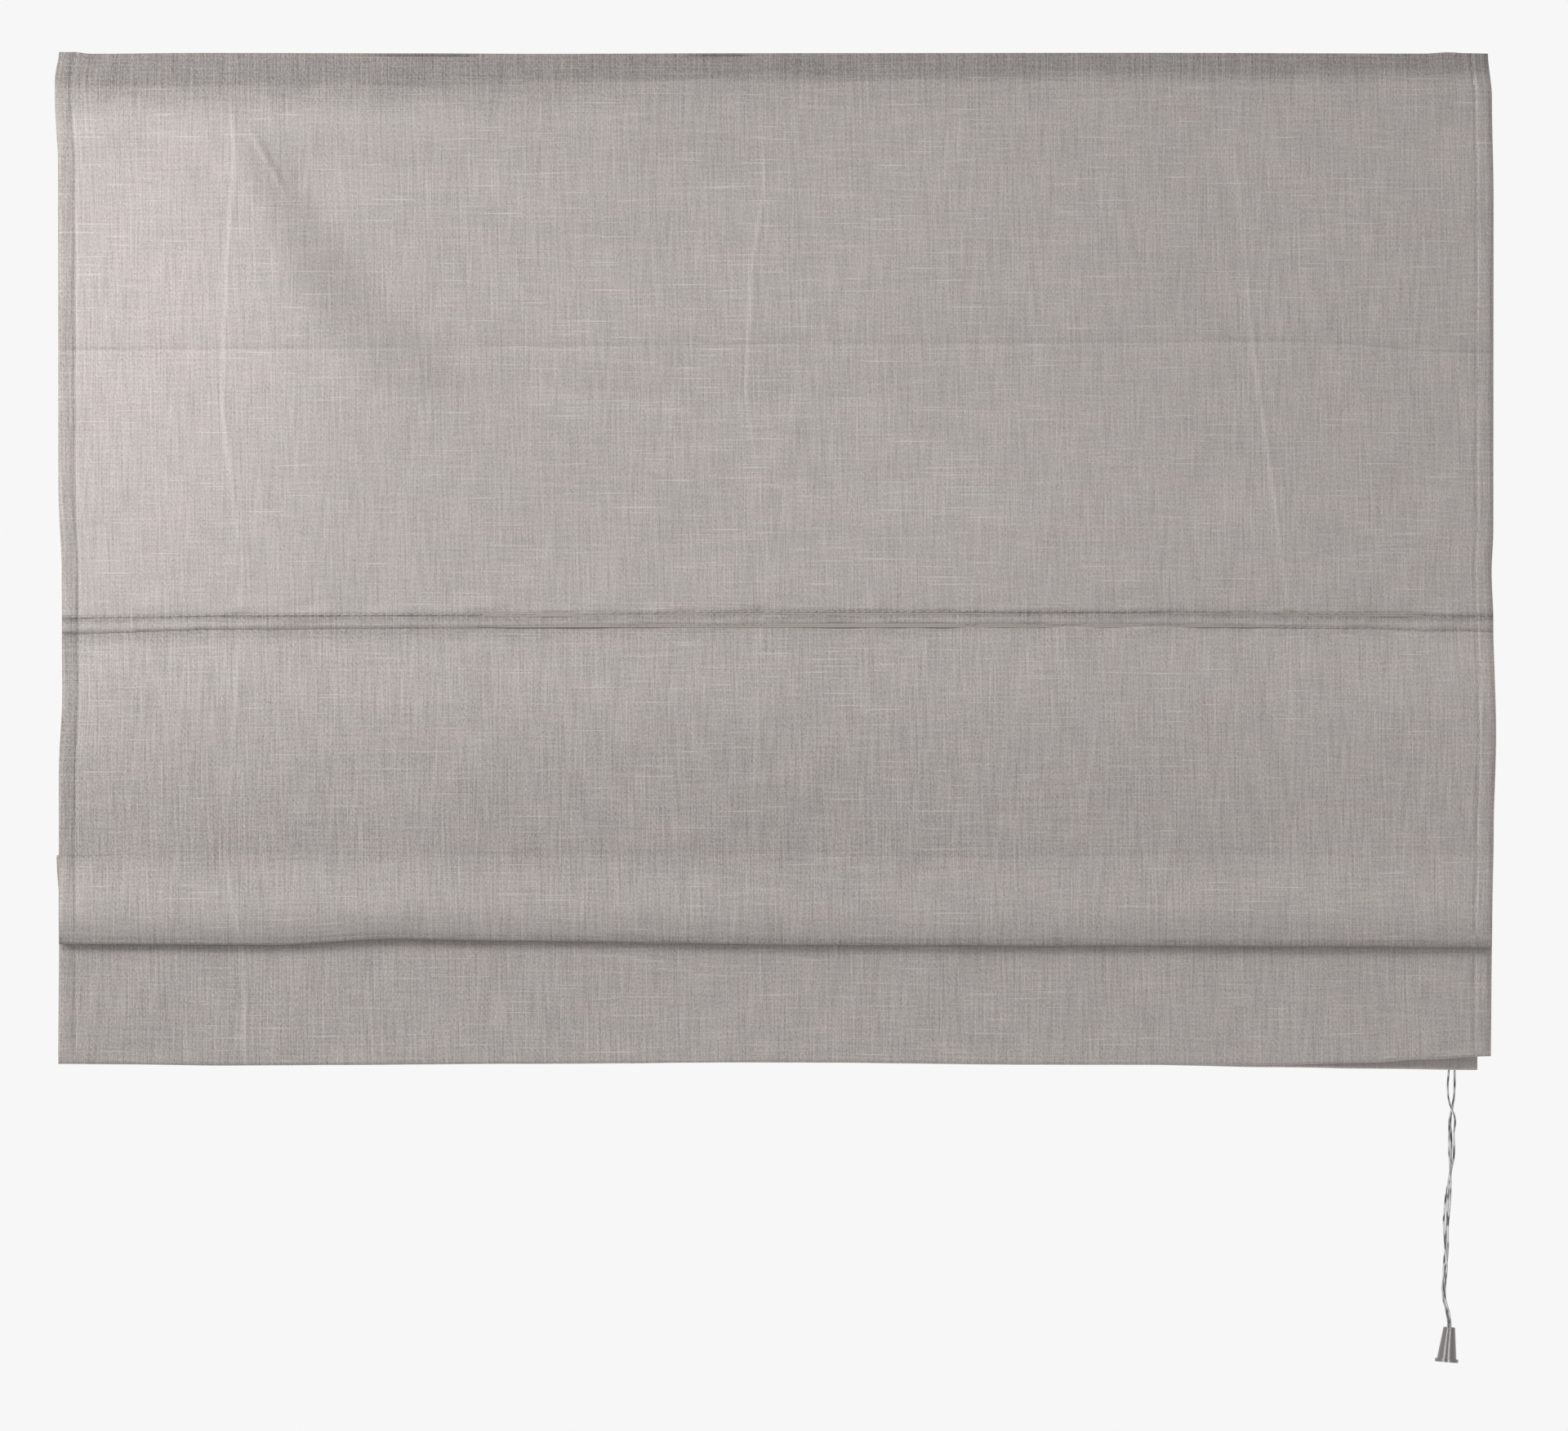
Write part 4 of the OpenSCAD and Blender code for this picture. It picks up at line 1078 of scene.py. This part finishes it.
def make_stitches():
    """Rows that hold the rod pocket, the side hems and the bottom hem."""
    sizes = bpy.context.scene.blind_sizes
    drape = hung_cloth()
    tree = stitch_tree()
    pitch = sizes.stitch_pitch / MM
    stops = drape.stops()
    # The rows stop a few millimetres short of the edges and folds
    across = np.arange(-drape.half + 10, drape.half - 8, pitch)
    down = np.arange(6, drape.length - 4, pitch)
    shown = (down < drape.turn - 4) | ((down > drape.rear_start + 40) & (down < drape.rear_fold - 5))
    edge = drape.half - drape.hem
    rows = {name: [] for name in CLOTH_BODIES}
    front = np.linspace(0, drape.turn, 1500)
    for row in drape.seam_rows(across):
        rows["seam_band"].append((across, np.interp(-row, -drape.height(front), front), (1, 0)))
    rows["lower_fold"].append((across, 0 * across + drape.length - 3, (1, 0)))
    for name, start, end in zip(CLOTH_BODIES, stops, stops[1:]):
        part = down[shown & (down > start + 2) & (down < end - 2)]
        rows[name] += [(0 * part + x, part, (0, 1)) for x in (-edge, edge) if len(part)]
    for name, lines in rows.items():
        if not lines:
            continue
        x, s = (np.concatenate([line[k] for line in lines]) for k in (0, 1))
        ways = np.concatenate([np.tile(way, (len(line), 1)) for line, _, way in lines])
        middle = drape.points(x, s)
        right, low = drape.points(x + 0.5, s) - middle, drape.points(x, s + 0.5) - middle
        out = unit(np.cross(low, right))
        along = unit(ways[:, :1] * right + ways[:, 1:] * low)
        lift = drape.thick / 2 + 0.3 * sizes.thread_diameter / MM
        piece = stitched("stitches_" + name, tree, middle + out * lift, along)
        follow_cloth(piece, name, drape)


# Grained finishes: nodes, then the material's name, colour, pitch of its grain, contrast, metal, roughness
GRAINED = (
    # Dull metal with faint lines drawn along the bar
    (["bottom_bar"], "mill_aluminium", "#C4C6C8", (40, 0.6, 0.6), 0.12, 1, 0.45),
    # Cream rods with faint fibres along them
    ([rod + "_rod" for rod in RODS], "drawn_glass_fibre", "#E3E0D6", (60, 0.8, 0.8), 0.12, 0, 0.5),
    # Milky white, nearly even
    ([rod + "_rings" for rod in RODS], "moulded_ring_plastic", "#EFEDE7", (3, 3, 3), 0.06, 0, 0.5),
    # Cool grey metal with a cloudy shine
    (["screw_eye_left", "screw_eye_middle", "screw_eye_right", "cord_lock_bar", "cord_lock_screws"],
     "zinc_plated_steel", "#B4B6BA", (2, 2, 2), 0.15, 1, 0.35),
    # Plain white with a fine moulded grain
    (["cord_lock_housing"], "moulded_lock_plastic", "#F0EFEC", (1.2, 1.2, 1.2), 0.05, 0, 0.5),
    # Yellow metal, unevenly worn
    (["cord_lock_pin"], "knurled_brass", "#C9A65C", (1.5, 1.5, 1.5), 0.2, 1, 0.35),
    # Greyer than the cord, with the shadows between its strands
    (["lift_knots", "tassel_knot"], "knotted_cord", "#C6C4C2", (0.9, 0.9, 0.9), 0.3, 0, 0.5),
)


def make_fittings():
    """Finishes of the solids that show as they are."""
    finishes = {"head_batten": shared(planed_pine), "tassel": shared(satin_nickel)}
    for name in ("hook_tape", "loop_tape"):
        finishes[name] = shared(woven_tape, "grip_tape", "#E4E1DB")
    for rod in RODS:
        finishes[rod + "_pocket"] = shared(woven_tape, "pocket_tape", "#A39C96")
    for nodes, *finish in GRAINED:
        for name in nodes:
            finishes[name] = shared(mottled, *finish)
    for name, material in finishes.items():
        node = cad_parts[name]
        node.data.materials.clear()
        node.data.materials.append(material)


def make_camera(stage):
    """Camera square to the cloth, far off and with a long lens."""
    camera = bpy.data.objects.new("camera", bpy.data.cameras.new("camera"))
    bpy.context.scene.collection.objects.link(camera)
    camera.data.lens = stage.lens
    distance = stage.view_width * stage.lens / camera.data.sensor_width
    cloth_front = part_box("cloth")[0].y
    camera.location = (stage.view_x, cloth_front - distance, stage.view_z)
    camera.rotation_euler = (math.pi / 2, 0, 0)
    bpy.context.scene.camera = camera


def make_lamp(name, place, target, size, power):
    """Square lamp at a place in metres, turned to its target."""
    lamp = bpy.data.objects.new(name, bpy.data.lights.new(name, "AREA"))
    bpy.context.scene.collection.objects.link(lamp)
    lamp.data.size = size
    lamp.data.energy = power
    # Metal mirrors the soft boxes of the world instead
    lamp.visible_glossy = False
    lamp.location = place
    lamp.rotation_euler = (Vector(target) - Vector(place)).to_track_quat("-Z", "Y").to_euler()


# Lamps in metres: place, what each points at, and size
LAMPS = {
    "key": ((-0.92, -0.68, -0.12), (-0.5, 0, -0.3), 0.4),
    "side": ((-10.5, -4.2, 3.9), (0, 0, -0.5), 2.4),
    "back": ((2.5, 5, 2), (0, 0, -0.5), 3),
}
# Side that the even light comes from more fully, and by how much of it
FULLER_SIDE, FULLER_SHARE = (-0.5, -0.2, 0.84), 0.9
# What metal mirrors: its strength, and brightness by degrees to the viewer's right, with two soft boxes
MIRRORED_STRENGTH = 2
MIRRORED = [
    (-180, 0.45), (-100, 0.22), (-40, 0.2), (-37, 1), (-28, 1), (-24, 0.11), (12, 0.1), (15, 1), (24, 1),
    (28, 0.15), (100, 0.18), (180, 0.45),
]


def mirrored_light(tree, outward):
    """Surroundings that only metal and gloss show."""
    parts = add(tree, "ShaderNodeSeparateXYZ", {0: outward}).outputs
    towards = add(tree, "ShaderNodeMath", {0: parts["Y"], 1: -1}, operation="MULTIPLY").outputs[0]
    angle = add(tree, "ShaderNodeMath", {0: parts["X"], 1: towards}, operation="ARCTAN2").outputs[0]
    ramp = add(tree, "ShaderNodeValToRGB", {"Fac": ramped(tree, angle, -math.pi, math.pi)})
    stops = ramp.color_ramp.elements
    for degrees, bright in MIRRORED[1:-1]:
        stops.new(0.5 + degrees / 360).color = rgba((bright,) * 3)
    for stop, (_, bright) in zip((stops[0], stops[-1]), (MIRRORED[0], MIRRORED[-1])):
        stop.color = rgba((bright,) * 3)
    return add(tree, "ShaderNodeBackground", {
        "Color": ramp.outputs["Color"], "Strength": MIRRORED_STRENGTH}).outputs["Background"]


def make_world(stage, backdrop):
    """Soft light, fuller from the upper left, a pale backdrop for the camera, and soft boxes for metal."""
    world = bpy.data.worlds.new("studio")
    bpy.context.scene.world = world
    world.use_nodes = True
    tree = world.node_tree
    tree.nodes.clear()
    path = add(tree, "ShaderNodeLightPath")
    seen = add(tree, "ShaderNodeMath", {
        0: path.outputs["Is Camera Ray"], 1: path.outputs["Is Transmission Ray"]}, operation="MAXIMUM")
    outward = add(tree, "ShaderNodeTexCoord").outputs["Generated"]
    lean = add(tree, "ShaderNodeVectorMath", {
        0: outward, 1: FULLER_SIDE}, operation="DOT_PRODUCT").outputs["Value"]
    strength = add(tree, "ShaderNodeMath", {
        0: lean, 1: FULLER_SHARE * stage.fill, 2: stage.fill}, operation="MULTIPLY_ADD").outputs[0]
    light = add(tree, "ShaderNodeBackground", {"Color": (1, 1, 1, 1), "Strength": strength})
    pale = add(tree, "ShaderNodeBackground", {"Color": rgba(backdrop), "Strength": 1})
    lit = add(tree, "ShaderNodeMixShader", {
        0: path.outputs["Is Glossy Ray"], 1: light.outputs["Background"], 2: mirrored_light(tree, outward)})
    mixed = add(tree, "ShaderNodeMixShader", {
        0: seen.outputs[0], 1: lit.outputs["Shader"], 2: pale.outputs["Background"]})
    add(tree, "ShaderNodeOutputWorld", {"Surface": mixed.outputs["Shader"]})


def make_floor(stage, backdrop):
    """Round pale floor that fades into the backdrop."""
    sides, rings = 64, 12
    turns = np.arange(sides) * 2 * math.pi / sides
    radii = np.linspace(0, stage.floor_radius / MM, rings + 1)[1:]
    disc = np.stack([np.cos(turns), np.sin(turns), 0 * turns], axis=1)
    points = np.concatenate([[[0, 0, 0]], *[disc * r for r in radii]])
    points[:, 2] -= stage.floor_drop / MM
    faces = [(0, 1 + k, 1 + (k + 1) % sides) for k in range(sides)]
    for ring in range(rings - 1):
        a, b = 1 + ring * sides, 1 + (ring + 1) * sides
        faces += [(a + k, b + k, b + (k + 1) % sides, a + (k + 1) % sides) for k in range(sides)]
    material, tree, shader = new_material("pale_floor", Roughness=0.9, Base_Color=rgba(backdrop))
    gone = add(tree, "ShaderNodeBsdfTransparent")
    outward = add(tree, "ShaderNodeVectorMath", {0: object_space(tree), 1: (1, 1, 0)}, operation="MULTIPLY")
    far = add(tree, "ShaderNodeVectorMath", {0: outward.outputs[0]}, operation="LENGTH")
    fade_start, fade_end = 0.35 * stage.floor_radius, 0.98 * stage.floor_radius
    share = add(tree, "ShaderNodeMapRange", {
        "Value": far.outputs["Value"], "From Min": fade_start, "From Max": fade_end},
        interpolation_type="SMOOTHSTEP")
    mixed = add(tree, "ShaderNodeMixShader", {
        0: share.outputs["Result"], 1: shader.outputs["BSDF"], 2: gone.outputs["BSDF"]})
    tree.links.new(mixed.outputs["Shader"], tree.nodes["Material Output"].inputs["Surface"])
    floor = new_piece("floor", points, faces, material)


class BLIND_OT_stage(bpy.types.Operator):
    """Makes the camera, the lamps, the backdrop and the floor"""
    bl_idname = "blind.stage"
    bl_label = "Stage"

    def execute(self, context):
        stage = context.scene.blind_stage
        backdrop = context.scene.blind_colours.backdrop
        context.scene.view_settings.view_transform = "Standard"
        make_camera(stage)
        make_world(stage, backdrop)
        for name, (place, target, size) in LAMPS.items():
            make_lamp(name, place, target, size, getattr(stage, name + "_power"))
        make_floor(stage, backdrop)
        return {"FINISHED"}


class BLIND_OT_pull_cords(bpy.types.Operator):
    """Makes the three pull cords that hang from the lock to the tassel"""
    bl_idname = "blind.pull_cords"
    bl_label = "Pull cords"

    def execute(self, context):
        make_pull_cords()
        return {"FINISHED"}


class BLIND_OT_lift_cords(bpy.types.Operator):
    """Makes the three lift cords behind the cloth and their runs along the batten"""
    bl_idname = "blind.lift_cords"
    bl_label = "Lift cords"

    def execute(self, context):
        make_lift_cords()
        return {"FINISHED"}


class BLIND_OT_cloth(bpy.types.Operator):
    """Makes the folded linen"""
    bl_idname = "blind.cloth"
    bl_label = "Cloth"

    def execute(self, context):
        make_cloth()
        return {"FINISHED"}


class BLIND_OT_stitches(bpy.types.Operator):
    """Sews the rod pocket and the hems"""
    bl_idname = "blind.stitches"
    bl_label = "Stitches"

    def execute(self, context):
        make_stitches()
        return {"FINISHED"}


class BLIND_OT_fittings(bpy.types.Operator):
    """Gives the batten, rods, rings, lock and tassel their finishes"""
    bl_idname = "blind.fittings"
    bl_label = "Fittings"

    def execute(self, context):
        make_fittings()
        return {"FINISHED"}


class BLIND_PT_sidebar(bpy.types.Panel):
    """Lists the pieces of the blind"""
    bl_label = "Roman blind"
    bl_idname = "BLIND_PT_sidebar"
    bl_space_type = "VIEW_3D"
    bl_region_type = "UI"
    bl_category = "Roman blind"

    def draw(self, context):
        for operator in OPERATORS:
            self.layout.operator(operator.bl_idname)


OPERATORS = (
    BLIND_OT_stage, BLIND_OT_pull_cords, BLIND_OT_lift_cords, BLIND_OT_cloth, BLIND_OT_stitches,
    BLIND_OT_fittings)
GROUPS = {"blind_sizes": BlindSizes, "blind_colours": BlindColours, "blind_stage": StageSettings}


def register():
    for group in GROUPS.values():
        bpy.utils.register_class(group)
    for name, group in GROUPS.items():
        setattr(bpy.types.Scene, name, PointerProperty(type=group))
    for operator in OPERATORS:
        bpy.utils.register_class(operator)
    bpy.utils.register_class(BLIND_PT_sidebar)


def unregister():
    bpy.utils.unregister_class(BLIND_PT_sidebar)
    for operator in reversed(OPERATORS):
        bpy.utils.unregister_class(operator)
    for name, group in GROUPS.items():
        delattr(bpy.types.Scene, name)
        bpy.utils.unregister_class(group)


def main():
    register()
    bpy.ops.blind.stage()
    bpy.ops.blind.pull_cords()
    bpy.ops.blind.lift_cords()
    bpy.ops.blind.cloth()
    bpy.ops.blind.stitches()
    bpy.ops.blind.fittings()


if __name__ == "__main__":
    main()
